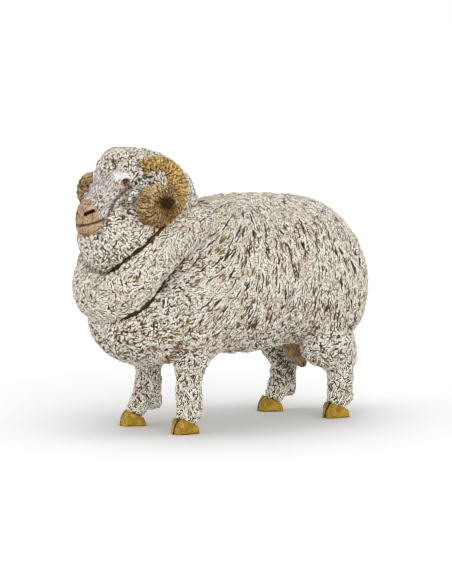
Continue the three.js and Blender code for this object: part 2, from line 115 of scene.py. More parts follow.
def read_between(values, places, wraps):
    """Values read along the first axis at fractional places, by a cubic curve through the four nearest."""
    count = len(values)
    first = np.floor(places).astype(int)
    t = (places - first).reshape((-1,) + (1,) * (values.ndim - 1))
    weights = (
        (-t + 2 * t**2 - t**3) / 2,
        (2 - 5 * t**2 + 3 * t**3) / 2,
        (t + 4 * t**2 - 3 * t**3) / 2,
        (-(t**2) + t**3) / 2,
    )
    total = 0
    for step, weight in enumerate(weights):
        index = first + step - 1
        index = index % count if wraps else np.clip(index, 0, count - 1)
        total = total + weight * values[index]
    return total


# Soft masses and their skins.


def lump(centre, reach, pitch=0.0):
    """An ellipsoid: its centre, its reach along each axis, and its pitch about X in degrees."""
    return {"centre": np.array(centre, float), "reach": np.array(reach, float), "pitch": math.radians(pitch)}


def lump_pair(centre, reach):
    """The same lump on the left and on the right."""
    x, y, z = centre
    return [lump((side * x, y, z), reach) for side in (1, -1)]


def limb(start, end, start_radius, end_radius, flatness):
    """A round limb that tapers from start to end, with its width along X as a share of its depth."""
    squeeze = np.array([1 / flatness, 1, 1])
    return {
        "start": np.array(start, float),
        "end": np.array(end, float),
        "radii": (start_radius, end_radius),
        "squeeze": squeeze,
    }


def distance_to_mass(mass, points):
    """About how far each point lies outside the mass. For a lump it is the point's size in reaches, less
    one, times how fast that size grows. For a limb it is the distance to its line less its radius there."""
    if "reach" in mass:
        local = points - mass["centre"]
        cosine, sine = math.cos(mass["pitch"]), math.sin(mass["pitch"])
        y = local[..., 1] * cosine + local[..., 2] * sine
        z = local[..., 2] * cosine - local[..., 1] * sine
        near = np.stack([local[..., 0], y, z], -1) / mass["reach"]
        size = np.linalg.norm(near, axis=-1)
        steepness = np.linalg.norm(near / mass["reach"], axis=-1)
        return size * (size - 1) / np.maximum(steepness, 1e-9)
    offset = (points - mass["start"]) * mass["squeeze"]
    run = (mass["end"] - mass["start"]) * mass["squeeze"]
    share = np.clip(offset @ run / (run @ run), 0, 1)
    return np.linalg.norm(offset - share[..., None] * run, axis=-1) - blend(*mass["radii"], share)


def distance_to_masses(masses, points, melt):
    """The soft least of the distances to the masses, which melts their junctions over the length melt."""
    distances = np.stack([distance_to_mass(mass, points) for mass in masses])
    nearest = distances.min(0)
    return nearest - melt * np.log(np.exp((nearest - distances) / melt).sum(0))


def ray_fan(spine, rows, columns, cap_share):
    """The rays of a capsule, from its spine outwards. Over the first cap a row's ray turns from backwards
    to sideways, over the middle it slides along the spine, and over the last cap it turns on to forwards.
    A column turns the ray about the spine, from +X round."""
    start, end = np.array(spine, float)
    axis = unit(end - start)
    aside = unit(np.array([1.0, 0, 0]) - axis * axis[0])
    upright = np.cross(axis, aside)
    share = (np.arange(rows) + 0.5) / rows
    turn = np.clip(share / cap_share, 0, 1) + np.clip((share - 1 + cap_share) / cap_share, 0, 1)
    polar = turn[:, None, None] * math.pi / 2
    slide = np.clip((share - cap_share) / (1 - 2 * cap_share), 0, 1)
    angle = ring_angles(columns)[None, :, None]
    sideways = np.cos(angle) * aside + np.sin(angle) * upright
    rays = np.sin(polar) * sideways - np.cos(polar) * axis
    origins = start + slide[:, None, None] * (end - start)
    return origins + np.zeros_like(rays), rays


def soft_skin(masses, spine, melt, grid, cap_share, reach=45.0):
    """The skin round the masses, seen from a spine inside them, as a grid of so many rows and columns. On
    a grid four times coarser each ray is halved again and again between inside and outside, and the finer
    rays read their lengths from it."""
    rows, columns = grid
    coarse_rows, coarse_columns = rows // 4, columns // 4
    origins, rays = ray_fan(spine, coarse_rows, coarse_columns, cap_share)
    inside = np.zeros(rays.shape[:2])
    outside = np.full(rays.shape[:2], reach)
    for _ in range(HALVINGS):
        middle = (inside + outside) / 2
        within = distance_to_masses(masses, origins + middle[..., None] * rays, melt) < 0
        inside = np.where(within, middle, inside)
        outside = np.where(within, outside, middle)
    row_places = (np.arange(rows) + 0.5) / rows * coarse_rows - 0.5
    column_places = np.arange(columns) / columns * coarse_columns
    lengths = read_between((inside + outside) / 2, row_places, False)
    lengths = read_between(lengths.T, column_places, True).T
    origins, rays = ray_fan(spine, rows, columns, cap_share)
    return origins + lengths[..., None] * rays


def bent_tube(centres, reach, width, reference, columns):
    """A tube round a line of centres. A ring's first axis is the reference with its part along the line
    taken away, its second stands square to both, and the columns go round the ellipse of the two."""
    along = unit(np.gradient(centres, axis=0))
    first = unit(reference - along * dot(reference, along)[:, None])
    second = np.cross(along, first)
    angle = ring_angles(columns)[None, :, None]
    ring = reach[:, None, None] * np.cos(angle) * first[:, None]
    ring = ring + width[:, None, None] * np.sin(angle) * second[:, None]
    return centres[:, None] + ring


# Surfaces, and cuts traced over them.


class Surface:
    """A grid of points whose columns wrap, with its slopes from row to row and from column to column, its
    normals, and what its columns and rows measure."""

    def __init__(self, points):
        self.points = points
        self.rows, self.columns = points.shape[:2]
        self.down = np.gradient(points, axis=0)
        self.across = (np.roll(points, -1, 1) - np.roll(points, 1, 1)) / 2
        self.normals = unit(np.cross(self.across, self.down))
        middle = points.mean(1, keepdims=True)
        if dot(points - middle, self.normals).mean() < 0:
            self.normals = -self.normals

    def at(self, values, row, column):
        """Values read between the grid's points by straight blending."""
        row = np.clip(row, 0, self.rows - 1.001)
        top = np.floor(row).astype(int)
        left = np.floor(column).astype(int)
        down = (row - top)[:, None]
        right = (column - left)[:, None]
        first = blend(values[top, left % self.columns], values[top, (left + 1) % self.columns], right)
        last = blend(values[top + 1, left % self.columns], values[top + 1, (left + 1) % self.columns], right)
        return blend(first, last, down)

    def raised(self, heights):
        """The grid moved out along its normals by these heights."""
        return self.points + self.normals * heights[..., None]


def scattered(surface, cell, chance, random):
    """One grid point at random from each brick of a stack of bricks, kept with its own chance. The bricks
    of neighbouring stacks are staggered."""
    flat = surface.points.reshape(-1, 3)
    place = flat / cell
    place[:, 2] += np.floor(place[:, 0]) * 0.37 + np.floor(place[:, 1]) * 0.618
    brick = np.floor(place).astype(np.int64) @ np.array([1, 4096, 16777216])
    order = random.permutation(len(flat))
    _, first = np.unique(brick[order], return_index=True)
    chosen = order[first]
    return chosen[random.random(len(chosen)) < chance.reshape(-1)[chosen]]


def mark_kind(cell, length, half_width, spread, wander, reach=MARK_REACH):
    """A kind of mark: one to each brick of these sides, with these least and most lengths and half widths.
    It sets out within the spread from the lay, swings by up to the wander, both in degrees, and is felt
    as far beside it as the reach."""
    sides = np.zeros(3) + cell
    return dict(cell=sides, length=length, half_width=half_width, spread=spread, wander=wander, reach=reach)


def traced(surface, starts, lay, kind, random):
    """Wavy paths over the surface, as stretches with a half width at each end. Each path sets out from its
    start, turned from the lay there by its own angle within the spread, and its heading swings by a sine as
    it goes. A step along the surface is turned into rows and columns by the two slopes there. The width is
    a root of the sine of how far along its path a stretch lies."""
    step, most_rows, most_columns = 0.25, 9, 60
    count = len(starts)
    lengths = random.uniform(*kind["length"], count)
    widths = random.uniform(*kind["half_width"], count)
    base = np.radians(random.uniform(-1, 1, count) * kind["spread"])
    swing = np.radians(random.uniform(0.4, 1, count) * kind["wander"])
    wave = random.uniform(1.3, 2.6, count)
    phase = random.uniform(0, 2 * math.pi, count)
    row = (starts // surface.columns).astype(float)
    column = (starts % surface.columns).astype(float)
    side = random.choice([-1.0, 1.0], count)
    stretches = []
    for index in range(int(kind["length"][1] / step)):
        travelled = index * step
        near_row = np.clip(np.rint(row).astype(int), 0, surface.rows - 1)
        near = near_row, np.rint(column).astype(int) % surface.columns
        normal = surface.normals[near]
        flow = unit(lay[near] - normal * dot(lay[near], normal)[:, None])
        angle = base + swing * np.sin(2 * math.pi * travelled / wave + phase)
        heading = np.cos(angle)[:, None] * flow + np.sin(angle)[:, None] * np.cross(normal, flow)
        heading = heading * side[:, None] * step
        down, across = surface.down[near], surface.across[near]
        tall, wide, skew = dot(down, down), dot(across, across), dot(down, across)
        on_down, on_across = dot(down, heading), dot(across, heading)
        square = tall * wide - skew**2
        next_row = row + np.clip((wide * on_down - skew * on_across) / square, -most_rows, most_rows)
        next_row = np.clip(next_row, 0, surface.rows - 1)
        columns_on = (tall * on_across - skew * on_down) / square
        next_column = column + np.clip(columns_on, -most_columns, most_columns)
        width, next_width = (
            widths * np.sin(math.pi * np.clip((travelled + part * step) / lengths, 0.04, 0.96)) ** 0.55
            for part in (0.5, 1.5)
        )
        stretch = np.stack([row, column, next_row, next_column, width, next_width], 1)
        stretches.append(stretch[travelled < lengths])
        row, column = next_row, next_column
    return np.concatenate(stretches)


def carved(surface, stretches, reach):
    """How deep each grid point lies in the cuts: a cut's half width less the distance to its middle line,
    the most over all cuts, and never less than minus the reach. Each stretch asks only the window of grid
    points round it, and stretches with windows of like size are worked out together."""
    margin, most_rows, most_points = 0.15, 8, 2000000
    row, column, next_row, next_column, width, next_width = stretches.T
    start = surface.at(surface.points, row, column)
    run = surface.at(surface.points, next_row, next_column) - start
    middle_row = np.rint((row + next_row) / 2).astype(int)
    middle_column = np.rint((column + next_column) / 2).astype(int)
    near = np.clip(middle_row, 0, surface.rows - 1), middle_column % surface.columns
    span = reach + margin + width
    rows_needed = np.ceil(span / np.linalg.norm(surface.down[near], axis=-1)).astype(int)
    columns_needed = np.ceil(span / np.linalg.norm(surface.across[near], axis=-1)).astype(int)
    columns_needed = np.minimum(columns_needed, surface.columns // 2)
    flat = surface.points.reshape(-1, 3)
    field = np.full(len(flat), -reach)
    smaller = 0
    for size in (4, 6, 9, 14, 22, 40, 80, 160, 400):
        alike = np.nonzero((columns_needed > smaller) & (columns_needed <= size))[0]
        smaller = size
        if len(alike) == 0:
            continue
        high_rows = min(int(rows_needed[alike].max()), most_rows)
        window_rows, window_columns = np.mgrid[-high_rows : high_rows + 1, -size : size + 1]
        window_rows, window_columns = window_rows.reshape(1, -1), window_columns.reshape(1, -1)
        for part in np.array_split(alike, 1 + len(alike) * window_rows.size // most_points):
            rows = np.clip(middle_row[part, None] + window_rows, 0, surface.rows - 1)
            columns = (middle_column[part, None] + window_columns) % surface.columns
            index = rows * surface.columns + columns
            offset = flat[index] - start[part, None]
            direction = run[part, None]
            share = np.clip(dot(offset, direction) / np.maximum(dot(direction, direction), 1e-9), 0, 1)
            distance = np.linalg.norm(offset - share[..., None] * direction, axis=-1)
            depth = blend(width[part, None], next_width[part, None], share) - distance
            np.maximum.at(field, index.ravel(), depth.ravel())
    return field.reshape(surface.rows, surface.columns)


def cut_pass(surface, lay, kind, chance, seed):
    """One pass of a kind of mark over a surface: scattered, traced and carved."""
    random = np.random.default_rng(seed)
    chance = np.broadcast_to(chance, surface.points.shape[:2])
    starts = scattered(surface, kind["cell"], chance, random)
    return carved(surface, traced(surface, starts, lay, kind, random), kind["reach"])


def swirled(lay, points, size, share, seed):
    """The lay turned this way and that by smooth noise, so that neighbouring cuts lie in clumps."""
    turn = np.stack([noise(points, size, seed + axis) for axis in range(3)], -1)
    return lay + share * turn


# Each kind's cell, lengths, half widths, spread and wander, and its reach where it isn't the usual one.
LONG_CUTS = mark_kind((9, 2.3, 3.8), (2.6, 6.6), (0.1, 0.21), 8, 22)
SHORT_CUTS = mark_kind(1.25, (0.6, 1.8), (0.07, 0.15), 34, 30)
WIDE_PITS = mark_kind((9, 3.8, 5.0), (1.3, 3.0), (0.19, 0.34), 12, 16)
LOW_PITS = mark_kind((3, 3, 3.4), (0.8, 2.2), (0.14, 0.26), 35, 30)
COLLAR_CUTS = mark_kind(1.7, (0.9, 2.8), (0.09, 0.19), 40, 40)
COLLAR_PITS = mark_kind(5, (0.8, 1.8), (0.18, 0.3), 60, 40)
NECK_PITS = mark_kind(5, (0.6, 1.4), (0.18, 0.28), 80, 40)
LEG_PITS = mark_kind(4, (0.6, 1.2), (0.16, 0.24), 80, 40)
FACE_HAIRS = mark_kind(1.2, (0.4, 0.9), (0.07, 0.12), 35, 30)
EAR_HAIRS = mark_kind(1.1, (0.6, 1.6), (0.08, 0.16), 20, 30)
HORN_SPECKS = mark_kind(0.85, (0.4, 1.3), (0.07, 0.14), 14, 22)
HOOF_SCRATCHES = mark_kind(1.3, (0.4, 1.2), (0.03, 0.06), 40, 20, 0.3)
POUCH_LINES = mark_kind((0.9, 0.9, 1.4), (0.8, 2.4), (0.04, 0.09), 6, 10, 0.3)


# Pieces from grids.


def fan_map(columns, edge, tip):
    """The places on the bake's map of a fan of triangles between an edge row and its tip."""
    left = np.arange(columns) / columns
    u = np.stack([left + 1 / columns, left, left + 0.5 / columns], -1)
    v = np.stack([0 * left + edge, 0 * left + edge, 0 * left + tip], -1)
    return u, v


def marked(points, **fields):
    """The fields that a piece keeps on its mesh: cuts, pits and nicks, empty where none are given, and any
    others."""
    none = np.full(points.shape[:2], -MARK_REACH)
    return {"cuts": none, "pits": none, "nicks": none, **fields}


def make_piece(name, points, material, node, values, flat_ends=(False, False)):
    """A closed mesh of a grid whose columns wrap. A middle point closes each end row by a fan of triangles.
    The bake's map lays the columns along U and the rows along V. Values are kept as attributes."""
    surface = Surface(points)
    if dot(np.cross(surface.across, surface.down), surface.normals).mean() < 0:
        points = points[:, ::-1]
        values = {label: value[:, ::-1] for label, value in values.items()}
    rows, columns = points.shape[:2]
    vertices = np.concatenate([points.reshape(-1, 3), points[[0, -1]].mean(1)])
    vertices = (vertices + FIGURE_ORIGIN) * MILLIMETRE
    index = np.arange(rows * columns).reshape(rows, columns)
    right = np.roll(index, -1, 1)
    tips = np.full((2, columns), [[rows * columns], [rows * columns + 1]])
    quads = np.stack([index[:-1], right[:-1], right[1:], index[1:]], -1).reshape(-1, 4)
    first = np.stack([right[0], index[0], tips[0]], -1)
    last = np.stack([index[-1], right[-1], tips[1]], -1)
    depth = (np.arange(rows) + 1) / (rows + 1)
    left_side = np.zeros((rows - 1, 1)) + np.arange(columns) / columns
    right_side = left_side + 1 / columns
    above = np.zeros((1, columns)) + depth[:-1, None]
    below = np.zeros((1, columns)) + depth[1:, None]
    first_u, first_v = fan_map(columns, depth[0], 0)
    last_u, last_v = fan_map(columns, depth[-1], 1)
    map_u = np.stack([left_side, right_side, right_side, left_side], -1)
    map_v = np.stack([above, above, below, below], -1)
    map_u = np.concatenate([map_u.ravel(), first_u.ravel(), last_u[:, [1, 0, 2]].ravel()])
    map_v = np.concatenate([map_v.ravel(), first_v.ravel(), last_v.ravel()])
    corners = np.concatenate([quads.ravel(), first.ravel(), last.ravel()])
    starts = np.concatenate([np.arange(len(quads)) * 4, len(quads) * 4 + np.arange(2 * columns) * 3])
    smooth = np.ones(len(starts), bool)
    smooth[len(quads) : len(quads) + columns] = not flat_ends[0]
    smooth[len(quads) + columns :] = not flat_ends[1]
    mesh = bpy.data.meshes.new(name)
    mesh.vertices.add(len(vertices))
    mesh.vertices.foreach_set("co", vertices.ravel())
    mesh.loops.add(len(corners))
    mesh.loops.foreach_set("vertex_index", corners.astype(np.int32))
    mesh.polygons.add(len(starts))
    mesh.polygons.foreach_set("loop_start", starts.astype(np.int32))
    mesh.polygons.foreach_set("use_smooth", smooth)
    mesh.update(calc_edges=True)
    bake_map = mesh.uv_layers.new(name="OFBake")
    bake_map.uv.foreach_set("vector", np.stack([map_u, map_v], -1).ravel())
    for label, value in values.items():
        value = np.concatenate([value.reshape(rows * columns, -1), value[[0, -1]].mean(1).reshape(2, -1)])
        kind, field = "FLOAT", "value"
        if value.shape[1] == 3:
            value = np.concatenate([value, np.ones((len(value), 1))], 1)
            kind, field = "FLOAT_COLOR", "color"
        attribute = mesh.attributes.new(label, kind, "POINT")
        attribute.data.foreach_set(field, value.astype(np.float32).ravel())
    mesh.materials.append(material)
    piece = bpy.data.objects.new(name, mesh)
    bpy.context.scene.collection.objects.link(piece)
    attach(piece, "root")
    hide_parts(node)


def make_bands(name, points, material, node, values, bands):
    """A long grid as several closed pieces, each a band of rows that shares its end rows with the next."""
    edges = np.linspace(0, len(points) - 1, bands + 1).astype(int)
    for number, (top, bottom) in enumerate(zip(edges[:-1], edges[1:])):
        rows = slice(top, bottom + 1)
        band = {label: value[rows] for label, value in values.items()}
        flat_ends = (number > 0, number < bands - 1)
        make_piece(f"{name}_{number + 1}", points[rows], material, node, band, flat_ends)


# Materials.

# Display colours of 0 to 255. A set of inks is a dark, a warm and a pale one.
PAINTS = {
    "wool hollow shade": (194, 181, 157),
    "wool height highlight": (252, 245, 230),
    "wool blush": (226, 210, 190),
    "wool line": (96, 84, 62),
    "wool rim highlight": (255, 253, 246),
    "umber wash and shade": (124, 90, 40),
    "slate shade": (68, 62, 42),
    "stain": (160, 132, 84),
    "pit edge": (170, 142, 96),
    "pit floor": (58, 42, 20),
    "pale ochre": (164, 136, 82),
    "deep ochre": (98, 74, 34),
    "grain hollow shade": (20, 14, 8),
    "hair highlight": (250, 246, 238),
    "horn highlight": (220, 184, 112),
    "hoof highlight": (204, 168, 72),
    "skin highlight": (176, 150, 112),
    "grey hair": (200, 194, 187),
    "white hair": (236, 233, 230),
    "straw hair": (190, 174, 134),
    "rosy skin": (226, 194, 172),
    "chalk": (250, 250, 249),
    "muzzle": (190, 152, 113),
    "pale muzzle": (214, 178, 138),
    "cheek wool": (236, 228, 212),
    "shade behind the ear": (120, 104, 80),
    "cheek edge shade": (88, 58, 34),
    "chin": (112, 78, 44),
    "mouth": (70, 42, 26),
    "nostril": (14, 9, 8),
    "eye rim": (88, 60, 40),
    "amber": (214, 146, 58),
    "dark amber": (160, 100, 34),
    "iris rim": (60, 38, 18),
    "pupil": (10, 34, 40),
    "upper lid": (42, 28, 22),
    "lower lid": (196, 160, 132),
    "lid mottle": (96, 68, 46),
    "horn gold": (255, 220, 138),
    "horn amber": (244, 200, 116),
    "horn grey": (193, 163, 119),
    "horn inner": (130, 96, 58),
    "horn furrow": (104, 72, 32),
    "horn ridge highlight": (226, 200, 150),
    "throat rim": (110, 66, 22),
    "throat": (38, 20, 6),
    "ear white": (250, 250, 248),
    "ear grey": (206, 208, 208),
    "hoof yellow": (190, 152, 44),
    "hoof olive": (162, 124, 26),
    "hoof band": (118, 84, 28),
    "hoof edge": (96, 64, 20),
    "cleft": (84, 52, 18),
    "web brown": (92, 62, 24),
    "web dark": (60, 40, 18),
    "pouch tan": (180, 154, 114),
    "pouch grey": (152, 128, 92),
    "pouch tip": (204, 150, 104),
    "pouch crease": (92, 74, 46),
}
WOOL_INKS = (23, 24, 20), (78, 56, 26), (132, 112, 76)
GREY_INKS = (26, 28, 28), (60, 50, 38), (100, 92, 78)
BROWN_INKS = (38, 26, 12), (72, 48, 20), (104, 76, 38)


def colour(red, green, blue):
    """A display colour of 0 to 255 as the linear colour that a material wants."""
    display = np.array([red, green, blue]) / 255
    linear = np.where(display <= 0.04045, display / 12.92, ((display + 0.055) / 1.055) ** 2.4)
    return (*linear.tolist(), 1.0)


class Nodes:
    """A short way to lay out the nodes of one tree."""

    def __init__(self, tree):
        self.tree = tree

    def add(self, kind, inputs=None, **settings):
        """One node with its settings, and its inputs joined to sockets or set to values."""
        node = self.tree.nodes.new(kind)
        for name, value in settings.items():
            setattr(node, name, value)
        for name, value in (inputs or {}).items():
            if isinstance(value, bpy.types.NodeSocket):
                self.tree.links.new(value, node.inputs[name])
            else:
                node.inputs[name].default_value = value
        return node

    def ramp(self, value, start, end, low=0.0, high=1.0):
        """The value taken from start..end to low..high, smoothly and no further."""
        inputs = {"Value": value, "From Min": start, "From Max": end, "To Min": low, "To Max": high}
        return self.add("ShaderNodeMapRange", inputs, interpolation_type="SMOOTHSTEP").outputs[0]

    def math(self, operation, first, second=0.0, third=0.0):
        """A sum, product or other step of arithmetic."""
        return self.add("ShaderNodeMath", {0: first, 1: second, 2: third}, operation=operation).outputs[0]

    def mix(self, share, first, second, blend_type="MIX"):
        """One colour laid over another."""
        inputs = {0: share, 6: first, 7: second}
        node = self.add("ShaderNodeMix", inputs, data_type="RGBA", blend_type=blend_type)
        return node.outputs[2]

    def over(self, first, value, start, end, share, second):
        """A colour laid over the first as a value goes from start to end, by no more than the share."""
        return self.mix(self.ramp(value, start, end, 0.0, share), first, second)

    def attribute(self, name):
        """A value kept on the mesh."""
        return self.add("ShaderNodeAttribute", attribute_name=name).outputs["Fac"]

    def place(self):
        """Where the point lies on the piece, in millimetres."""
        inputs = {0: self.add("ShaderNodeTexCoord").outputs["Object"], "Scale": 1 / MILLIMETRE}
        return self.add("ShaderNodeVectorMath", inputs, operation="SCALE").outputs[0]

    def noise(self, place, scale, detail, roughness, distortion=0.0):
        """Noise from 0 to 1 with this many grains to the millimetre."""
        inputs = {"Vector": place, "Scale": scale, "Detail": detail}
        inputs.update({"Roughness": roughness, "Distortion": distortion})
        return self.add("ShaderNodeTexNoise", inputs).outputs["Fac"]

    def grain(self, place, size):
        """Noise from 0 to 1 with grains of about this size in millimetres."""
        return self.noise(place, 1 / size, 2.0, 0.6)


def paint(name):
    """One of the paints, as a material wants it."""
    return colour(*PAINTS[name])


def new_group(name, inputs, outputs):
    """A new node group with these named inputs and outputs, its nodes, and its two ends."""
    tree = bpy.data.node_groups.new(name, "ShaderNodeTree")
    for in_out, sockets in {"INPUT": inputs, "OUTPUT": outputs}.items():
        for label, kind in sockets.items():
            tree.interface.new_socket(label, in_out=in_out, socket_type=f"NodeSocket{kind}")
    nodes = Nodes(tree)
    return nodes, nodes.add("NodeGroupInput").outputs, nodes.add("NodeGroupOutput").inputs


def fibre_group():
    """The fine grain of moulded wool or hair, with named inputs: its brightness, its height, and broken
    lines, which are the places where a smooth noise passes its middle."""
    nodes, given, result = new_group(
        "moulded_fibre",
        {"Place": "Vector", "Size": "Float"},
        {"Brightness": "Float", "Lines": "Float", "Height": "Float"},
    )
    scale = nodes.math("DIVIDE", 1.0, given["Size"])
    fine = nodes.noise(given["Place"], scale, 3.0, 0.65, 1.2)
    coarse = nodes.noise(given["Place"], nodes.math("DIVIDE", scale, 3.7), 2.0, 0.5)
    both = nodes.math("MULTIPLY_ADD", fine, 0.7, nodes.math("MULTIPLY", coarse, 0.3))
    flow = {0: given["Place"], 1: (1.0, 1.0, 0.6)}
    flow = nodes.add("ShaderNodeVectorMath", flow, operation="MULTIPLY").outputs[0]
    wave = nodes.noise(flow, nodes.math("DIVIDE", scale, 2.2), 1.0, 0.5, 0.8)
    middle = nodes.math("ABSOLUTE", nodes.math("SUBTRACT", wave, 0.5))
    broken = nodes.ramp(coarse, 0.4, 0.55)
    lines = nodes.math("MULTIPLY", nodes.ramp(middle, 0.02, 0.06, 1.0, 0.0), broken)
    nodes.tree.links.new(nodes.ramp(both, 0.4, 0.6), result["Brightness"])
    nodes.tree.links.new(lines, result["Lines"])
    nodes.tree.links.new(fine, result["Height"])
    return nodes.tree


def cut_paint_group():
    """Paint for cuts, pits and nicks, whose fields are over 0 inside a mark and fall off beside it. Beside
    the cuts a painted highlight in the given highlight paint is laid over the tone, by the given share, and
    the tone is stained in places. Over it lie the nicks, the pits in ochre with dark floors, and the cuts in
    one of two inks."""
    fields = {"Place": "Vector", "Cuts": "Float", "Pits": "Float", "Nicks": "Float", "Highlight Share": "Float"}
    paints = {label: "Color" for label in ("Tone", "Highlight Paint", "Dark Ink", "Warm Ink", "Pale Ink")}
    nodes, given, result = new_group("cut_paint", {**fields, **paints}, {"Painted": "Color"})
    place, cuts, pits = given["Place"], given["Cuts"], given["Pits"]
    tone = nodes.over(given["Tone"], cuts, -0.42, -0.16, given["Highlight Share"], given["Highlight Paint"])
    patches = nodes.ramp(nodes.grain(place, 2.6), 0.5, 0.66)
    stain = nodes.math("MULTIPLY", nodes.ramp(cuts, -0.3, -0.02), patches)
    tone = nodes.mix(nodes.math("MULTIPLY", stain, 0.75), tone, paint("stain"))
    tone = nodes.over(tone, pits, -0.16, 0.0, 0.5, paint("pit edge"))
    nick = nodes.mix(nodes.grain(place, 1.1), given["Dark Ink"], given["Pale Ink"])
    tone = nodes.over(tone, given["Nicks"], -0.04, 0.03, 0.92, nick)
    ochre = nodes.over(paint("pale ochre"), nodes.grain(place, 1.5), 0.35, 0.65, 1.0, paint("deep ochre"))
    tone = nodes.over(tone, pits, -0.05, 0.03, 0.95, ochre)
    tone = nodes.over(tone, pits, 0.2, 0.3, 0.75, paint("pit floor"))
    ink = nodes.over(given["Dark Ink"], nodes.grain(place, 4.0), 0.38, 0.6, 1.0, given["Warm Ink"])
    tone = nodes.over(tone, cuts, -0.03, 0.03, 0.97, ink)
    nodes.tree.links.new(tone, result["Painted"])
    return nodes.tree


FIBRE = fibre_group()
CUT_PAINT = cut_paint_group()


def painted(name, roughness, gloss=0.15):
    """A new material, with its nodes and its one shader."""
    material = bpy.data.materials.new(name)
    material.use_nodes = True
    nodes = Nodes(material.node_tree)
    shader = material.node_tree.nodes["Principled BSDF"]
    shader.inputs["Roughness"].default_value = roughness
    shader.inputs["Specular IOR Level"].default_value = gloss
    return material, nodes, shader


def add_bump(nodes, shader, height, distance, strength):
    """Fine relief in the shading, of this depth in millimetres."""
    inputs = {"Height": height, "Distance": distance * MILLIMETRE, "Strength": strength}
    bump = nodes.add("ShaderNodeBump", inputs)
    nodes.tree.links.new(bump.outputs["Normal"], shader.inputs["Normal"])


def fibre(nodes, place, size):
    """The outputs of the fibre group, set to a size in millimetres."""
    return nodes.add("ShaderNodeGroup", {"Place": place, "Size": size}, node_tree=FIBRE).outputs


def cut_in(nodes, tone, rim, highlight, inks):
    """The tone with the piece's own cuts, pits and nicks painted in, and a painted highlight beside the
    cuts by the share rim.
    """
    inputs = {name.capitalize(): nodes.attribute(name) for name in ("cuts", "pits", "nicks")}
    inputs.update({"Place": nodes.place(), "Tone": tone, "Highlight Share": rim, "Highlight Paint": paint(highlight)})
    inputs.update(zip(("Dark Ink", "Warm Ink", "Pale Ink"), (colour(*ink) for ink in inks)))
    return nodes.add("ShaderNodeGroup", inputs, node_tree=CUT_PAINT).outputs["Painted"]


def washed_and_shaded(nodes, tone, name, shade, grain):
    """The tone under a dark wash that is partly paint and partly painted shade, whose share is kept on the
    mesh. A full share covers everything, and a thinner one settles as painted shade beside the cuts and in
    the hollows of the grain."""
    share = nodes.attribute(name)
    beside = nodes.ramp(nodes.attribute("cuts"), -0.38, -0.06, -0.3, 0.12)
    settled = nodes.math("MULTIPLY_ADD", grain["Brightness"], -0.25, beside)
    settled = nodes.ramp(nodes.math("ADD", share, settled), 0.1, 0.75)
    return nodes.mix(nodes.math("MULTIPLY", settled, nodes.ramp(share, 0.0, 0.3)), tone, paint(shade))


def wool_material():
    """Cream wool. Grain makes it lighter on its heights and darker in its hollows, partly random tone and
    partly painted highlight and shade. Its cuts are painted in, and washes of paint and painted shade tint
    it.
    """
    material, nodes, shader = painted("painted_wool", 0.78)
    place = nodes.place()
    grain = fibre(nodes, place, 0.46)
    tone = nodes.mix(grain["Brightness"], paint("wool hollow shade"), paint("wool height highlight"))
    tone = nodes.over(tone, nodes.grain(place, 6.0), 0.4, 0.65, 0.3, paint("wool blush"))
    tone = nodes.mix(nodes.math("MULTIPLY", grain["Lines"], 0.7), tone, paint("wool line"))
    # The wool takes 0.65 of its painted highlight beside the cuts.
    tone = cut_in(nodes, tone, 0.65, "wool rim highlight", WOOL_INKS)
    tone = washed_and_shaded(nodes, tone, "umber", "umber wash and shade", grain)
    tone = washed_and_shaded(nodes, tone, "slate", "slate shade", grain)
    nodes.tree.links.new(tone, shader.inputs["Base Color"])
    add_bump(nodes, shader, grain["Height"], 0.16, 0.8)
    return material


def tinted_material(name, highlight, inks, roughness, grain_size, contrast, relief, coat=0.0):
    """A painted finish whose tint is kept on the mesh. Grain is laid over it, with painted shade in its
    hollows and a painted highlight in the highlight paint on its heights unless the tint is dark, and then
    the cuts."""
    material, nodes, shader = painted(name, roughness)
    tint = nodes.add("ShaderNodeAttribute", attribute_name="tint").outputs["Color"]
    grain = fibre(nodes, nodes.place(), grain_size)
    tone = nodes.mix(contrast, tint, paint("grain hollow shade"), "MULTIPLY")
    tone = nodes.mix(grain["Brightness"], tone, tint)
    lightness = nodes.ramp(nodes.add("ShaderNodeRGBToBW", {0: tint}).outputs[0], 0.02, 0.15, 0.0, contrast)
    painted_highlight = nodes.math("MULTIPLY", nodes.ramp(grain["Brightness"], 0.6, 1.0), lightness)
    tone = nodes.mix(painted_highlight, tone, paint(highlight))
    nodes.tree.links.new(cut_in(nodes, tone, 0.0, highlight, inks), shader.inputs["Base Color"])
    shader.inputs["Coat Weight"].default_value = coat
    shader.inputs["Coat Roughness"].default_value = 0.3
    add_bump(nodes, shader, grain["Height"], relief, 0.7)
    return material


def eye_material():
    """A glossy eye: a dark level pupil, an amber ring that fades to brown, and a dark rim."""
    material, nodes, shader = painted("glossy_eye", 0.12, 0.3)
    amber = nodes.mix(nodes.grain(nodes.place(), 0.25), paint("amber"), paint("dark amber"))
    tone = nodes.over(amber, nodes.attribute("gaze"), 1.0, 1.3, 1.0, paint("iris rim"))
    tone = nodes.over(tone, nodes.attribute("slit"), 1.0, 0.85, 1.0, paint("pupil"))
    nodes.tree.links.new(tone, shader.inputs["Base Color"])
    shader.inputs["Coat Weight"].default_value = 0.25
    shader.inputs["Coat Roughness"].default_value = 0.05
    return material


WOOL = wool_material()
SHORT_HAIR = tinted_material(
    "painted_short_hair", "hair highlight", GREY_INKS, roughness=0.7, grain_size=0.45, contrast=0.16, relief=0.06
)
HORN = tinted_material(
    "painted_horn", "horn highlight", BROWN_INKS, roughness=0.55, grain_size=0.5, contrast=0.4, relief=0.08
)
HOOF = tinted_material(
    "painted_hoof",
    "hoof highlight",
    BROWN_INKS,
    roughness=0.42,
    grain_size=0.6,
    contrast=0.3,
    relief=0.06,
    coat=0.15,
)
BARE_SKIN = tinted_material(
    "painted_bare_skin", "skin highlight", BROWN_INKS, roughness=0.6, grain_size=0.5, contrast=0.3, relief=0.05
)
EYE = eye_material()


# The masses and lines of the figure.

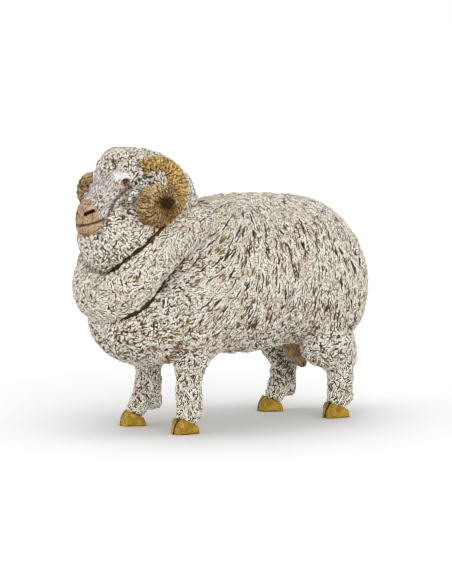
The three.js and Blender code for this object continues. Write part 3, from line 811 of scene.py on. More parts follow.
BODY_SPINE = (0, -28.1, 43), (0, 26, 43)
BODY_MELT = 2.2
BODY_MASSES = [
    lump((0, 2.5, 42.6), (20.5, 31, 22.9)),
    lump((0, 20.5, 43.4), (19.2, 21.2, 20.4)),
    lump((0, -14, 42.6), (19.5, 20, 21)),
    lump((0, -31.5, 31.6), (16, 16, 13.2)),
    *lump_pair((9, 27.4, 36.5), (10.2, 12, 17)),
    *lump_pair((11, -21.5, 35), (9.5, 11, 16)),
]
NECK_SPINE = (0, -33, 54), (0, -33, 70)
NECK_MELT = 2.0
NECK_MASSES = [
    lump((0, -33.4, 55.6), (14.3, 19, 13.6)),
    lump((0, -29, 66), (12.2, 12.7, 10.5)),
    lump((0, -35, 74.1), (8.9, 9.8, 4.6)),
    lump((0, -38.8, 74.9), (6.2, 6.0, 3.2)),
]
FACE_SPINE = (0, -40, 68.5), (0, -48, 63)
FACE_MELT = 1.0
FACE_MASSES = [
    lump((0, -37.6, 69.8), (6.9, 8.4, 6.6)),
    lump((0, -44, 68), (4.6, 8.4, 3.9), 44),
    lump((0, -49, 61.7), (4.8, 4, 4.8)),
    lump((0, -45.4, 60), (5.6, 8.1, 4.4), 14),
    *lump_pair((4.7, -40.6, 64.4), (4.3, 6, 5.8)),
    *lump_pair((4.7, -41.9, 72.4), (2.2, 3.4, 2.0)),
]
COLLAR_LINE = np.array(
    [
        (8.4, -12.5, 58),
        (12.5, -22, 58.8),
        (13.6, -31, 54.6),
        (11.4, -38.2, 47.9),
        (6.8, -43, 40.4),
        (0, -44.4, 38),
    ]
)
COLLAR_RADII = np.array([3.6, 5.0, 5.6, 6.1, 6.8, 6.8])
NECK_MIDDLE = np.array([0, -33, 61])
NOSTRIL = np.array([(1.7, -53, 62.2), (2.7, -52.6, 62.7), (3.7, -51.5, 63.2)])
MOUTH = np.array([(0, -53, 58.8), (1.8, -52.8, 59.2), (3.4, -51.6, 59.7), (4.9, -48.9, 60.7)])
CHEEK_EDGE = np.array(
    [(7, -38.6, 71.4), (7.2, -40.6, 70), (6.2, -45.4, 66.4), (5.4, -47.4, 62), (4.2, -48.6, 57.6)]
)
CAP_TUFT = np.array([-7.5, -35.5, 77.5])
EYE_RADIUS = 1.35
GAZE = np.array([0.9, -0.42, 0.02])
PUPIL_LENGTH = 0.64
PUPIL_HEIGHT = 0.6
# How high each lid arches over the middle of the eye, and how thick it is.
LIDS = {"upper": (0.7, 0.34), "lower": (-0.66, 0.3)}
EAR_ROOT = np.array([7.4, -34.6, 71.9])
EAR_BEND = EAR_ROOT + [3.2, -5.4, -2.5]
EAR_TIP = EAR_ROOT + [2.6, -10.3, -6.4]
EAR_LINE = np.array([EAR_ROOT, (EAR_ROOT + 2 * EAR_BEND + EAR_TIP) / 4, EAR_TIP])
ARMPIT = np.array([(11, -29, 29.5), (7.5, -28.6, 25), (3, -27, 21.5)])
# How far ahead and how high the right horn stands of the left one's mirror image.
FAR_HORN_SHIFT = 0.3, 1.7
RING_SPACING = 1.0
# Where the horn's line starts about its coil, and how far it turns, in degrees.
HORN_START = 126
HORN_TURN = 518
LEGS = {
    "front_left": {"side": 1, "thigh": -23.6, "hip": -24, "knee": -24.4, "ankle": -25.2, "foot": -26.3},
    "front_right": {"side": -1, "thigh": -21.6, "hip": -21.8, "knee": -22, "ankle": -26, "foot": -27.6},
    "rear_left": {"side": 1, "thigh": 26.5, "hip": 30, "knee": 30.4, "ankle": 29.4, "foot": 28.3},
    "rear_right": {"side": -1, "thigh": 26, "hip": 27.4, "knee": 27.5, "ankle": 24.4, "foot": 22.3},
}
LEG_SIDE = 11.2
RIGHT_TOE_OUT = math.radians(24)
HOOF_LENGTH = 6.9
TOE_HEIGHT = 4.4
HEEL_HEIGHT = 2.3
TOE_SLOPE = 1.9
HEEL_SLOPE = 0.3
CLAW_WIDTH = 2.6
CLEFT_WIDTH = 0.5


def on_left(points):
    """Points whose right half is mirrored onto the left."""
    return np.concatenate([np.abs(points[..., :1]), points[..., 1:]], -1)


def distance_to_line(points, line):
    """How far each point is from the nearest stretch of a line of points."""
    nearest = np.full(points.shape[:-1], 1e9)
    for start, end in zip(line[:-1], line[1:]):
        run = end - start
        share = np.clip((points - start) @ run / max(run @ run, 1e-9), 0, 1)
        nearest = np.minimum(nearest, np.linalg.norm(points - start - share[..., None] * run, axis=-1))
    return nearest


def laid_on(surface, line):
    """A line of points filled in by a cubic curve, each moved to the nearest point of a surface."""
    filled = read_between(line, np.linspace(0, len(line) - 1, 12 * len(line)), False)
    flat = surface.points.reshape(-1, 3)
    nearest = [np.argmin(np.linalg.norm(flat - point, axis=1)) for point in filled]
    return flat[nearest]


def tube_line(line, radii, places):
    """A line of centres and its radii, made whole by its mirror image and read by a cubic curve."""
    mirrored = np.concatenate([line, line[-2::-1] * [-1, 1, 1]])
    mirrored_radii = np.concatenate([radii, radii[-2::-1]])
    at = places * (len(mirrored) - 1)
    return read_between(mirrored, at, False), read_between(mirrored_radii, at, False)


def distance_to_collar(points):
    """How far each point lies outside the collar's roll, from the nearest of the centres along it."""
    centres, radii = tube_line(COLLAR_LINE, COLLAR_RADII, np.linspace(0, 1, 61))
    nearest = np.full(points.shape[:-1], 1e9)
    for centre, radius in zip(centres, radii):
        nearest = np.minimum(nearest, np.linalg.norm(points - centre, axis=-1) - radius)
    return nearest


def neck_seam_shows(points):
    """How far the seam of neck and collar shows: not at the throat, and not high up at the nape."""
    x, z = points[..., 0], points[..., 2]
    return np.maximum(ramp(x, -1.5, 2.5), ramp(-x, 7, 10)) * (1 - ramp(z, 58.5, 61.5))

def chest_seam_shows(points):
    """How far the seam of collar and chest shows: on both sides of the chest, and not high up."""
    x, z = points[..., 0], points[..., 2]
    return ramp(z, 30, 34) * (1 - ramp(z, 48, 51)) * ramp(np.abs(x), 5, 9)


# The wool.


def furrow_depth(turn, height):
    """How deep a furrow is: the squared rise of a cosine, whose phase counts the furrows and sways with
    height, times a second sine of height that makes each deep and shallow by turns."""
    phase = turn + 2 * math.pi * 0.9 / FURROW_SPACING * np.sin(2 * math.pi * height / 13)
    deep = (1 + np.sin(2 * math.pi * height / 10 + phase / 2)) / 2
    return 0.9 * blend(0.3, 1, deep) * ((1 + np.cos(phase)) / 2) ** 2


def body_furrows(points):
    """Furrows counted along the flanks, and by angle round the two ends."""
    x, y, z = np.moveaxis(points, -1, 0)
    beside = np.clip(y, -28.08, 26.04)
    travelled = beside + 20.5 * np.arctan2(y - beside, np.abs(x) + 8)
    return furrow_depth(2 * math.pi * travelled / FURROW_SPACING, z)


def neck_furrows(points):
    """Furrows that run down all round the neck, and fade out towards the crown."""
    aside, back, height = np.moveaxis(points - [0, -33, 0], -1, 0)
    return ramp(np.hypot(aside, back), 0, 6) * furrow_depth(21 * np.arctan2(aside, -back), height)


def wool_relief(surface, values, locks=0.22, crimp=0.17):
    """The height of the wool: locks and finer crimps of noise, less grooves that follow the cuts."""
    height = locks * noise(surface.points, 1.9, 1) + crimp * noise(surface.points, 0.75, 2)
    height -= 0.42 * ramp(values["cuts"], -0.5, 0.1)
    height -= 0.62 * ramp(values["pits"], -0.5, 0.22)
    height -= 0.12 * ramp(values["nicks"], -0.25, 0.06)
    return height


def tight_cuts(surface, lay, seed, cell=1.15, chance=0.92, spread=45):
    """Short cuts in clumps that lie every way, as on the legs, the neck and the chest."""
    lay = swirled(lay, surface.points, 3.5, 1.6, seed)
    return cut_pass(surface, lay, mark_kind(cell, (0.7, 1.9), (0.09, 0.19), spread, 24), chance, seed)


def fine_nicks(surface, lay, seed, cell=0.74, chance=0.8, spread=60):
    """The small nicks between the cuts."""
    lay = swirled(lay, surface.points, 2.4, 0.9, seed)
    kind = mark_kind(cell, (0.35, 1.1), (0.07, 0.12), spread, 30, 0.3)
    return cut_pass(surface, lay, kind, chance, seed)


def make_torso():
    """The fleece of the body: a soft skin in four bands, with long cuts down the flanks that lean back
    behind the collar, and short ones under the belly and over the chest."""
    points = soft_skin(BODY_MASSES, BODY_SPINE, BODY_MELT, grid=(552, 648), cap_share=0.27)
    surface = Surface(points)
    x, y, z = np.moveaxis(points, -1, 0)
    lean = np.radians(50 * (1 - ramp(y, -24, 0)))
    lay = np.stack([0.3 * np.sign(x), np.sin(lean), np.cos(lean)], -1)
    slant = swirled(lay + [0, 0.3, 0], points, 4.0, 0.5, 15)
    flank = ramp(y, -30, -22) * ramp(z, 25, 31)
    rump = ramp(y, 28, 36)
    top = ramp(surface.normals[..., 2], 0.35, 0.8)
    low = (1 - ramp(z, 28, 42)) * ramp(z, 19, 23)
    long_cuts = cut_pass(surface, lay, LONG_CUTS, flank * (1 - 0.4 * top) * (1 - 0.6 * rump), 11)
    short_cuts = cut_pass(surface, slant, SHORT_CUTS, blend(0.95, 0.55, flank), 12)
    wide_pits = cut_pass(surface, lay, WIDE_PITS, 0.95 * flank * (1 - 0.5 * top), 13)
    low_pits = cut_pass(surface, lay, LOW_PITS, 0.9 * low, 18)
    under_cuts = tight_cuts(surface, lay, 17, 1.3, 0.6 * (1 - flank), 60)
    seam = (1 - ramp(distance_to_collar(points), 0.1, 0.8)) * chest_seam_shows(points)
    armpit = bell(distance_to_line(on_left(points), laid_on(surface, ARMPIT)), 1.6)
    armpit = armpit * ramp(noise(points, 1.2, 7), -0.6, 0.3)
    belly = (1 - ramp(z, 23, 33)) * ramp(noise(points, 1.3, 5) + 0.4 * noise(points, 4.0, 6), -0.1, 0.4)
    nape = (1 - ramp(distance_to_masses(NECK_MASSES, points, NECK_MELT), 1.0, 7.0)) * ramp(z, 54, 59)
    high = ramp(z, 41, 47)
    # Painted shade in brown: in the seam of collar and chest, in the armpit, on the top and on the rump;
    # under the belly it is partly brown paint and partly painted shade. In grey: low in the seam and at the
    # nape.
    washes = [1.2 * seam * high, 0.5 * belly, 0.7 * armpit, 0.2 * top, 0.2 * rump]
    values = marked(
        points,
        cuts=np.maximum.reduce([long_cuts, short_cuts, under_cuts]),
        pits=np.maximum(wide_pits, low_pits),
        nicks=fine_nicks(surface, slant, 14, spread=45),
        umber=np.maximum.reduce(washes),
        slate=np.maximum(1.3 * seam * (1 - high), 0.6 * nape),
    )
    height = wool_relief(surface, values) - body_furrows(points)
    make_bands("torso_fleece", surface.raised(height), WOOL, "torso", values, bands=4)


def make_collar():
    """The roll of wool round the neck: a tube whose ends shrink by a high power of their place."""
    places = np.linspace(0, 1, 540)
    centres, radii = tube_line(COLLAR_LINE, COLLAR_RADII, places)
    radii = radii * np.sqrt(np.maximum(0.45**2, 1 - np.abs(2 * places - 1) ** 12))
    points = bent_tube(centres, radii, radii, NECK_MIDDLE - centres, 180)
    surface = Surface(points)
    lay = swirled(np.zeros_like(points) + [0.2, 0.6, 1.0], points, 4.0, 1.2, 25)
    neck = distance_to_masses(NECK_MASSES, points, NECK_MELT) + 0.35 * noise(points, 1.3, 26)
    neck_seam = (1 - ramp(neck, 0.0, 0.5)) * neck_seam_shows(points)
    body = distance_to_masses(BODY_MASSES, points, BODY_MELT)
    chest_seam = (1 - ramp(body, 0.1, 0.9)) * chest_seam_shows(points)
    high = ramp(points[..., 2], 41, 47)
    # The brown and grey shares are painted shade in the seams with the neck and with the chest.
    values = marked(
        points,
        cuts=cut_pass(surface, lay, COLLAR_CUTS, 0.9, 21),
        pits=cut_pass(surface, lay, COLLAR_PITS, 0.7, 22),
        nicks=fine_nicks(surface, lay, 23),
        umber=np.maximum(1.5 * neck_seam, 1.2 * chest_seam * high),
        slate=np.maximum(1.3 * chest_seam * (1 - high), 0.7 * ramp(neck_seam, 0.75, 1.0)),
    )
    height = wool_relief(surface, values, 0.25) - 0.5 * neck_seam
    make_piece("collar_fleece", surface.raised(height), WOOL, "torso", values)


def ear_shade(points):
    """Painted shade round each ear, for the wool that lies behind it."""
    distance = distance_to_line(on_left(points), EAR_LINE) + 0.3 * noise(points, 1.0, 37)
    return 1 - ramp(distance, 2.0, 3.2)


def make_head_wool():
    """The wool of the neck and the cap: a soft skin in two bands, with painted shade in brown where it meets
    the collar, under the chin and the jaw and in the hollow of each horn's coil, and in grey round the ears."""
    points = soft_skin(NECK_MASSES, NECK_SPINE, NECK_MELT, grid=(324, 520), cap_share=0.38)
    surface = Surface(points)
    x, y, z = np.moveaxis(points, -1, 0)
    lay = np.zeros_like(points) + [0.2, -0.3, 1.0]
    collar = distance_to_collar(points) + 0.35 * noise(points, 1.3, 34)
    seam = (1 - ramp(collar, 0.0, 0.5)) * neck_seam_shows(points)
    chin = bell(y + 49.5, 3.0) * bell(z - 55.6, 2.2) * bell(x, 6) * (0.7 + 0.5 * noise(points, 1.4, 35))
    hollow = bell(y + 35.3, 2.6) * bell(z - 66, 2.6)
    face = distance_to_masses(FACE_MASSES, points, FACE_MELT) + 0.3 * noise(points, 1.2, 36)
    jaw = (1 - ramp(face, 0.2, 1.1)) * (1 - ramp(z, 63, 68))
    values = marked(
        points,
        cuts=tight_cuts(surface, lay, 31),
        pits=cut_pass(surface, lay, NECK_PITS, 0.5, 32),
        nicks=fine_nicks(surface, lay, 33),
        umber=np.maximum.reduce([1.5 * seam, 0.75 * chin, 0.9 * hollow, 0.8 * jaw]),
        slate=np.maximum(0.6 * ear_shade(points), 0.7 * ramp(seam, 0.75, 1.0)),
    )
    tuft = bell(np.linalg.norm(points - CAP_TUFT, axis=-1), 3.6)
    height = wool_relief(surface, values) - neck_furrows(points) - 0.5 * seam + 1.9 * tuft
    make_bands("head_wool", surface.raised(height), WOOL, "head", values, bands=2)


def in_foot(points, leg):
    """Points as the foot sees them: from the middle of its sole, with its toe along -Y."""
    local = points - [leg["side"] * LEG_SIDE, leg["foot"], 0]
    turn = RIGHT_TOE_OUT if leg["side"] < 0 else 0
    x = local[..., 0] * math.cos(turn) - local[..., 1] * math.sin(turn)
    y = local[..., 0] * math.sin(turn) + local[..., 1] * math.cos(turn)
    return np.stack([x, y, local[..., 2]], -1)


def from_foot(points, leg):
    """The way back from the foot's own place."""
    turn = RIGHT_TOE_OUT if leg["side"] < 0 else 0
    x = points[..., 0] * math.cos(turn) + points[..., 1] * math.sin(turn)
    y = points[..., 1] * math.cos(turn) - points[..., 0] * math.sin(turn)
    return np.stack([x, y, points[..., 2]], -1) + [leg["side"] * LEG_SIDE, leg["foot"], 0]


def make_leg(name, leg, seed):
    """A woolly leg: a soft skin from the hip to the ankle, pushed up where it would sink into the hoof, to
    just above the sloping coronet and with a ragged rim."""
    x = leg["side"] * LEG_SIDE
    hip, knee, ankle = (x, leg["hip"], 22), (x, leg["knee"], 11.5), (x, leg["ankle"], 5)
    hind = "rear" in name
    masses = [
        lump((x, leg["thigh"], 22), (6.2, 7.4, 8) if hind else (6.2, 4.8, 6.4)),
        limb(hip, knee, 4.2, 3.35, 0.92),
        limb(knee, ankle, 3.35, 3.15, 0.92),
        lump((x, leg["knee"] + 2.9, 6.5), (1.7, 1.7, 2.8)),
    ]
    if hind:
        masses.append(lump((x, leg["hip"] + 3.6, 17.6), (3, 1.8, 3.4)))
    # The thigh's fold in front, which shows on the left side.
    if name == "rear_left":
        masses.append(lump((x - 0.6, 22, 20.6), (4.6, 4.7, 4.4)))
    points = soft_skin(masses, (hip, ankle), 1.0, grid=(170, 180), cap_share=0.28)
    surface = Surface(points)
    z = points[..., 2]
    lay = np.zeros_like(points) + [0.1, 0.3, 1.0]
    inner = -leg["side"] * surface.normals[..., 0]
    cell = 0.95 if name == "rear_right" else 1.15
    # Painted shade: grey on the inner side of a hind leg, and brown on the inner thigh.
    shade = 0.42 if hind else 0.0
    inner_thigh = ramp(z, 14, 22) * ramp(inner, -0.2, 0.5)
    values = marked(
        points,
        cuts=tight_cuts(surface, lay, seed, cell, blend(0.5, 0.95, ramp(z, 4.5, 9))),
        pits=cut_pass(surface, lay, LEG_PITS, 0.4, seed + 1),
        nicks=fine_nicks(surface, lay, seed + 2),
        umber=0.48 * inner_thigh * ramp(noise(points, 1.4, seed + 3), -0.6, 0.4),
        slate=shade * ramp(inner, -0.1, 0.7) * ramp(z, 4, 10),
    )
    raised = surface.raised(wool_relief(surface, values, 0.22, 0.14))
    slope = math.atan2(TOE_HEIGHT - HEEL_HEIGHT, HOOF_LENGTH - TOE_SLOPE - HEEL_SLOPE)
    upward = np.array([0, math.sin(slope), math.cos(slope)])
    coronet = np.array([0, (TOE_SLOPE - HEEL_SLOPE) / 2, (TOE_HEIGHT + HEEL_HEIGHT) / 2])
    local = in_foot(raised, leg)
    ragged = 0.05 + 0.3 * noise(points, 1.0, seed)
    short = np.maximum(ragged - dot(local - coronet, upward), 0)
    raised = from_foot(local + short[..., None] * upward, leg)
    make_piece(f"leg_wool_{name}", raised, WOOL, f"leg_{name}", values)


def make_tail():
    """The docked woolly tail: one lump against the rump, with upright cuts."""
    masses = [lump((0, 40.8, 46.5), (3.6, 3, 8), -8)]
    points = soft_skin(masses, ((0, 41.4, 50), (0, 40.2, 43)), 0.5, grid=(110, 120), cap_share=0.3)
    surface = Surface(points)
    lay = np.zeros_like(points) + [0.0, 0.0, 1.0]
    values = marked(
        points,
        cuts=tight_cuts(surface, lay, 61, 1.3, 0.85, 25),
        nicks=fine_nicks(surface, lay, 62),
        umber=0.35 * (1 - ramp(points[..., 2], 39, 45)),
        slate=np.zeros(points.shape[:2]),
    )
    height = wool_relief(surface, values, 0.25)
    make_piece("tail_wool", surface.raised(height), WOOL, "tail", values)


# The face.


def layered(first, layers):
    """A paint with others laid over it in turn, each by its own share at each point."""
    tint = np.array(paint(first)[:3])
    for name, share in layers.items():
        tint = tint + (np.array(paint(name)[:3]) - tint) * share[..., None]
    return tint


def make_face():
    """The short-haired face: a soft skin with nostrils, a mouth line and eye rims. Behind a groove down the
    cheek, painted brown as shade, it turns to wool, with painted shade behind the ear and under the chin.
    Both sides are worked out on the left, by each point's distance from the middle plane."""
    points = soft_skin(FACE_MASSES, FACE_SPINE, FACE_MELT, grid=(220, 280), cap_share=0.4)
    surface = Surface(points)
    left = on_left(points)
    y, z = points[..., 1], points[..., 2]
    mottle = noise(points, 1.1, 8)
    nostril = distance_to_line(left, laid_on(surface, NOSTRIL))
    mouth = distance_to_line(left, laid_on(surface, MOUTH))
    cheek = distance_to_line(left, laid_on(surface, CHEEK_EDGE))
    behind = y - np.interp(z, CHEEK_EDGE[::-1, 2], CHEEK_EDGE[::-1, 1])
    wool = ramp(behind + 0.3 * mottle, 0.1, 1.0)
    eye = np.linalg.norm(left - LEFT_EYE, axis=-1)
    muzzle = 1 - ramp(y + 0.2 * (z - 62) + 0.6 * mottle, -51.4, -49.5)
    brow = np.linalg.norm((left - [6.4, -42.9, 72.6]) / [3, 4.6, 2.4], axis=-1)
    patch = 1 - ramp(brow + 0.35 * mottle, 0.4, 1.2)
    lower = bell(np.linalg.norm((left - [6.8, -42.9, 68.7]) / [2.5, 2.4, 1.6], axis=-1), 1.0)
    # The cheek's edge, the wool behind the ear and the downward faces under the chin are painted shade.
    layers = {
        "white hair": ramp(mottle, -0.4, 0.5),
        "straw hair": 0.5 * ramp(noise(points, 2.4, 9), 0.0, 0.6),
        "rosy skin": 0.75 * lower,
        "chalk": 0.85 * patch,
        "muzzle": 0.95 * muzzle,
        "pale muzzle": 0.6 * muzzle * ramp(mottle, -0.2, 0.5),
        "cheek wool": wool,
        "shade behind the ear": 0.6 * wool * ear_shade(points),
        "cheek edge shade": 0.95 * bell(cheek, 0.5),
        "chin": 0.75 * (1 - ramp(surface.normals[..., 2], -0.85, -0.4)),
        "eye rim": 0.85 * (1 - ramp(eye, 1.5, 1.8)),
        "mouth": 0.95 * bell(mouth, 0.34),
        "nostril": 1 - ramp(nostril, 0.4, 0.62),
    }
    lay = np.zeros_like(points) + [0.0, 0.6, 0.8]
    bare = (1 - 0.4 * muzzle) * (1 - 0.85 * patch)
    hairs = cut_pass(surface, lay, FACE_HAIRS, 0.75 * bare, 71)
    locks = tight_cuts(surface, lay, 73, 1.2, 0.95 * wool, 50)
    nicks = fine_nicks(surface, lay, 72, 0.66, 0.9 * bare, 40)
    height = 0.08 * noise(points, 1.2, 3) - 0.08 * ramp(hairs, -0.3, 0.05)
    height += wool * (0.25 * noise(points, 1.6, 4) + 0.2) - 0.4 * ramp(locks, -0.45, 0.08)
    height -= 0.45 * bell(cheek, 0.6)
    height -= 0.75 * bell(nostril, 0.5) - 0.22 * bell(nostril - 0.85, 0.4)
    height -= 0.5 * bell(mouth, 0.3) - 0.15 * bell(mouth - 0.8, 0.5)
    height += 0.15 * bell(eye - 1.9, 0.35) - 0.5 * (1 - ramp(eye, 1.2, 1.6)) - 0.3 * bell(eye - 2.9, 0.6)
    tint = layered("grey hair", layers)
    values = marked(points, cuts=np.maximum(hairs, locks), nicks=nicks, tint=tint)
    make_piece("face_skin", surface.raised(height), SHORT_HAIR, "head", values)


def gaze_axes(side):
    """The way an eye looks, and the level and the upright direction square to it."""
    axis = unit(GAZE * [side, 1, 1])
    upright = unit(np.array([0, 0, 1.0]) - axis * axis[2])
    return axis, np.cross(upright, axis), upright


def make_eye(name, side):
    """A ball that looks out and a little forwards. Its gaze is the distance from the middle of the pupil,
    and its slit is the same in shares of the pupil's own length and height."""
    polar = (np.arange(60) + 0.5)[:, None, None] * math.pi / 60
    angle = ring_angles(80)[None, :, None]
    axis, level, upright = gaze_axes(side)
    rays = np.cos(polar) * axis + np.sin(polar) * (np.cos(angle) * level + np.sin(angle) * upright)
    aside, above = dot(rays, level) * EYE_RADIUS, dot(rays, upright) * EYE_RADIUS
    far = np.where(dot(rays, axis) < 0, 9.0, 0.0)
    slit = np.hypot(aside / PUPIL_LENGTH, above / PUPIL_HEIGHT) + far
    values = {"gaze": np.hypot(aside, above) + far, "slit": slit}
    points = LEFT_EYE * [side, 1, 1] + EYE_RADIUS * rays
    make_piece(f"eyeball_{name}", points, EYE, f"eye_{name}", values)


def make_lid(name, side, part):
    """An eyelid: a thin tube that arches over the ball from corner to corner."""
    lift, thickness = LIDS[part]
    share = np.linspace(-1, 1, 60)
    axis, level, upright = gaze_axes(side)
    lift = lift * (1 - share**2) + 0.02
    aside = share * 1.25
    ahead = np.sqrt(np.maximum((EYE_RADIUS + 0.01) ** 2 - lift**2 - aside**2, 0.05))
    centres = LEFT_EYE * [side, 1, 1]
    centres = centres + aside[:, None] * level + lift[:, None] * upright + ahead[:, None] * axis
    radius = thickness * (0.4 + 0.6 * (1 - share**2) ** 0.5)
    points = bent_tube(centres, radius, radius, np.zeros_like(centres) + axis, 24)
    mottle = ramp(noise(points, 0.6, 4), -0.5, 0.5)
    values = marked(points, tint=layered(f"{part} lid", {"lid mottle": mottle}))
    make_piece(f"{part}_lid_{name}", points, SHORT_HAIR, "head", values)


# Horns, ears, hooves and the pouch.


def make_horn(name, side, seed):
    """A coiled horn. Its line turns about the head's side while the coil tightens and drifts outwards, and
    its thickness swells and then tapers. Growth rings stand out across it, and specks lie along them."""
    share = np.linspace(0, 1, 320)
    angle = np.radians(HORN_START - HORN_TURN * share)
    deepening = 1.3 * ramp(share, 0.1, 0.22) * (1 - ramp(share, 0.35, 0.55))
    coil = blend(7, 2.6, ramp(share, 0.42, 0.79)) - deepening
    ahead, lift = FAR_HORN_SHIFT if side < 0 else (0, 0)
    x = side * (7.8 + 9.6 * share**0.8)
    y = -33.8 - ahead - 1.9 * ramp(share, 0.2, 0.6) + coil * np.cos(angle)
    z = 68.8 + lift - 2.9 * ramp(share, 0.3, 0.7) + coil * np.sin(angle)
    centres = np.stack([x, y, z], -1)
    radius = blend(2.05, 3.0, ramp(share, 0.15, 0.55)) * blend(1, 0.3, ramp(share, 0.6, 0.88))
    radius = radius * (1 - 0.13 * bell(share - 0.66, 0.13))
    end = np.sqrt(np.clip((1 - share) * 40, 0.002, 1))
    outwards = np.zeros_like(centres) + [1, 0, 0]
    points = bent_tube(centres, radius * end, (radius + deepening) * end, outwards, 96)
    surface = Surface(points)
    steps = np.linalg.norm(np.diff(centres, axis=0), axis=1)
    travelled = np.concatenate([[0], np.cumsum(steps)])[:, None]
    wobble = noise(points, 2.2, seed)
    ring = np.sin(2 * math.pi * travelled / RING_SPACING + 1.6 * wobble)
    lower = ramp(share, 0.3, 0.5)[:, None] + 0 * wobble
    highlight = ramp(share, 0.58, 0.66)[:, None] * ramp(surface.normals[..., 2], 0.0, 0.5)
    from_coil = np.linalg.norm(points[..., 1:] - [-35.7 - ahead, 65.9 + lift], axis=-1)
    inner = ramp(share, 0.06, 0.14) * (1 - ramp(share, 0.42, 0.52))
    inner = inner[:, None] * (1 - ramp(from_coil, 5.2, 7.4))
    throat = np.array([(18, -36.9 - ahead, 65.4 + lift), (9, -29.8 - ahead, 63.7 + lift)])
    throat = distance_to_line(points, throat * [side, 1, 1]) + 0.2 * wobble
    # Painted highlight on the upward faces of the inner coil, painted shade in the grooves between the rings
    # and in the coil's throat, and on the first bend's inner side browner horn that is partly painted shade.
    layers = {
        "horn amber": ramp(wobble, -0.5, 0.5),
        "horn grey": 0.9 * lower,
        "horn inner": 0.85 * inner,
        "horn furrow": 0.7 * ramp(-ring, 0.1, 0.9),
        "horn ridge highlight": 0.75 * highlight,
        "throat rim": 1 - ramp(throat, 1.8, 2.2),
        "throat": 1 - ramp(throat, 1.0, 1.8),
    }
    cuts = cut_pass(surface, surface.across, HORN_SPECKS, 0.7 + 0.2 * lower - 0.7 * highlight, seed + 1)
    nicks = fine_nicks(surface, surface.across, seed + 2, 0.65, 0.85, 25)
    height = 0.13 * ring + 0.08 * noise(points, 1.1, seed + 3) - 0.14 * ramp(cuts, -0.25, 0.08)
    height = height * ramp(share, 1, 0.97)[:, None]
    values = marked(points, cuts=cuts, nicks=nicks, tint=layered("horn gold", layers))
    make_piece(f"horn_shell_{name}", surface.raised(height), HORN, f"horn_{name}", values)


def make_ear(name, side, seed):
    """A leaf-shaped ear, bowed out and down, with hair lying along it."""
    share = np.linspace(0, 1, 90)[:, None]
    root, bend, tip = (point * [side, 1, 1] for point in (EAR_ROOT, EAR_BEND, EAR_TIP))
    centres = (1 - share) ** 2 * root + 2 * share * (1 - share) * bend + share**2 * tip
    share = share[:, 0]
    width = 1.75 * np.sin(math.pi * blend(0.14, 0.86, share))
    reach = 0.9 * blend(1, 0.7, share) * np.sqrt(np.clip((1 - share) * 12, 0.01, 1))
    points = bent_tube(centres, reach, width, np.zeros_like(centres) + [1, 0, 0], 64)
    surface = Surface(points)
    cuts = cut_pass(surface, surface.down, EAR_HAIRS, 0.9, seed)
    nicks = fine_nicks(surface, surface.down, seed + 1, 0.65, 0.85, 25)
    tint = layered("ear white", {"ear grey": ramp(noise(points, 1.2, seed), -0.3, 0.7)})
    height = 0.15 * noise(points, 0.9, seed + 2) - 0.25 * ramp(cuts, -0.35, 0.08)
    values = marked(points, cuts=cuts, nicks=nicks, tint=tint)
    make_piece(f"ear_leaf_{name}", surface.raised(height), SHORT_HAIR, f"ear_{name}", values)


def make_claw(name, leg, side, seed):
    """One claw of a hoof. Its rings are rounded boxes that stand along the sole: their tops follow the steep
    toe and then the slope of the coronet, and their outer edge draws in towards the toe."""
    share = (1 - np.cos(np.linspace(0.02, 0.98, 70) * math.pi)) / 2
    y = blend(-HOOF_LENGTH / 2, HOOF_LENGTH / 2, share)
    toe = np.clip((y + HOOF_LENGTH / 2) / TOE_SLOPE, 0, 1)
    heel = np.clip((HOOF_LENGTH / 2 - y) / 0.5, 0, 1)
    slope = np.clip((y + HOOF_LENGTH / 2 - TOE_SLOPE) / (HOOF_LENGTH - TOE_SLOPE - HEEL_SLOPE), 0, 1)
    top = blend(TOE_HEIGHT, HEEL_HEIGHT, slope) * toe**0.42 * heel**0.4
    forward = np.clip(-y * 2 / HOOF_LENGTH, 0, 1)
    width = CLAW_WIDTH * blend(1, 0.55, forward**2) * blend(0.35, 1, np.clip(toe * 1.6, 0, 1) ** 0.5)
    angle = ring_angles(80)[None, :]
    cosine, sine = np.cos(angle), np.sin(angle)
    aside = np.sign(cosine) * np.abs(cosine) ** 0.5
    above = np.sign(sine) * np.abs(sine) ** 0.45
    x = side * (CLEFT_WIDTH / 2 + width[:, None] * (1 + aside) / 2)
    z = top[:, None] * (1 + above) / 2
    points = np.stack([x, y[:, None] + 0 * x, z + 0 * x], -1)
    surface = Surface(points)
    outer = ramp(surface.normals[..., 2], -0.5, 0.0)
    band = np.sin(2 * math.pi * (z + 0.35 * y[:, None]) / 0.62 + 1.5 * noise(points, 1.5, seed))
    height = (0.04 * band + 0.07 * noise(points, 1.3, seed)) * outer
    points = surface.raised(height)
    points[..., 2] = np.maximum(points[..., 2], 0)
    # Painted shade in the grooves between the rings and on each claw's face towards the cleft.
    layers = {
        "hoof olive": ramp(noise(points, 1.4, seed + 1), -0.4, 0.5),
        "hoof band": 0.4 * ramp(-band, 0.3, 1) * outer,
        "hoof edge": 0.6 * (1 - ramp(points[..., 2], 0.05, 0.5)),
        "cleft": 0.85 * ramp(-side * surface.normals[..., 0], 0.2, 0.8),
    }
    scratches = cut_pass(surface, surface.across, HOOF_SCRATCHES, 0.4, seed + 2)
    values = marked(points, nicks=scratches, tint=layered("hoof yellow", layers))
    part = "outer" if side == leg["side"] else "inner"
    make_piece(f"{part}_claw_{name}", from_foot(points, leg), HOOF, f"hoof_{name}", values)


def make_web(name, leg):
    """The dark skin that joins the two claws behind their cleft."""
    masses = [lump((0, 1.3, 1.3), (1.3, 1.9, 1.0))]
    points = soft_skin(masses, ((0, 0.6, 1.3), (0, 2.0, 1.3)), 0.5, grid=(32, 40), cap_share=0.3)
    values = marked(points, tint=layered("web brown", {"web dark": ramp(noise(points, 0.8, 9), -0.5, 0.5)}))
    make_piece(f"hoof_web_{name}", from_foot(points, leg), HOOF, f"hoof_{name}", values)


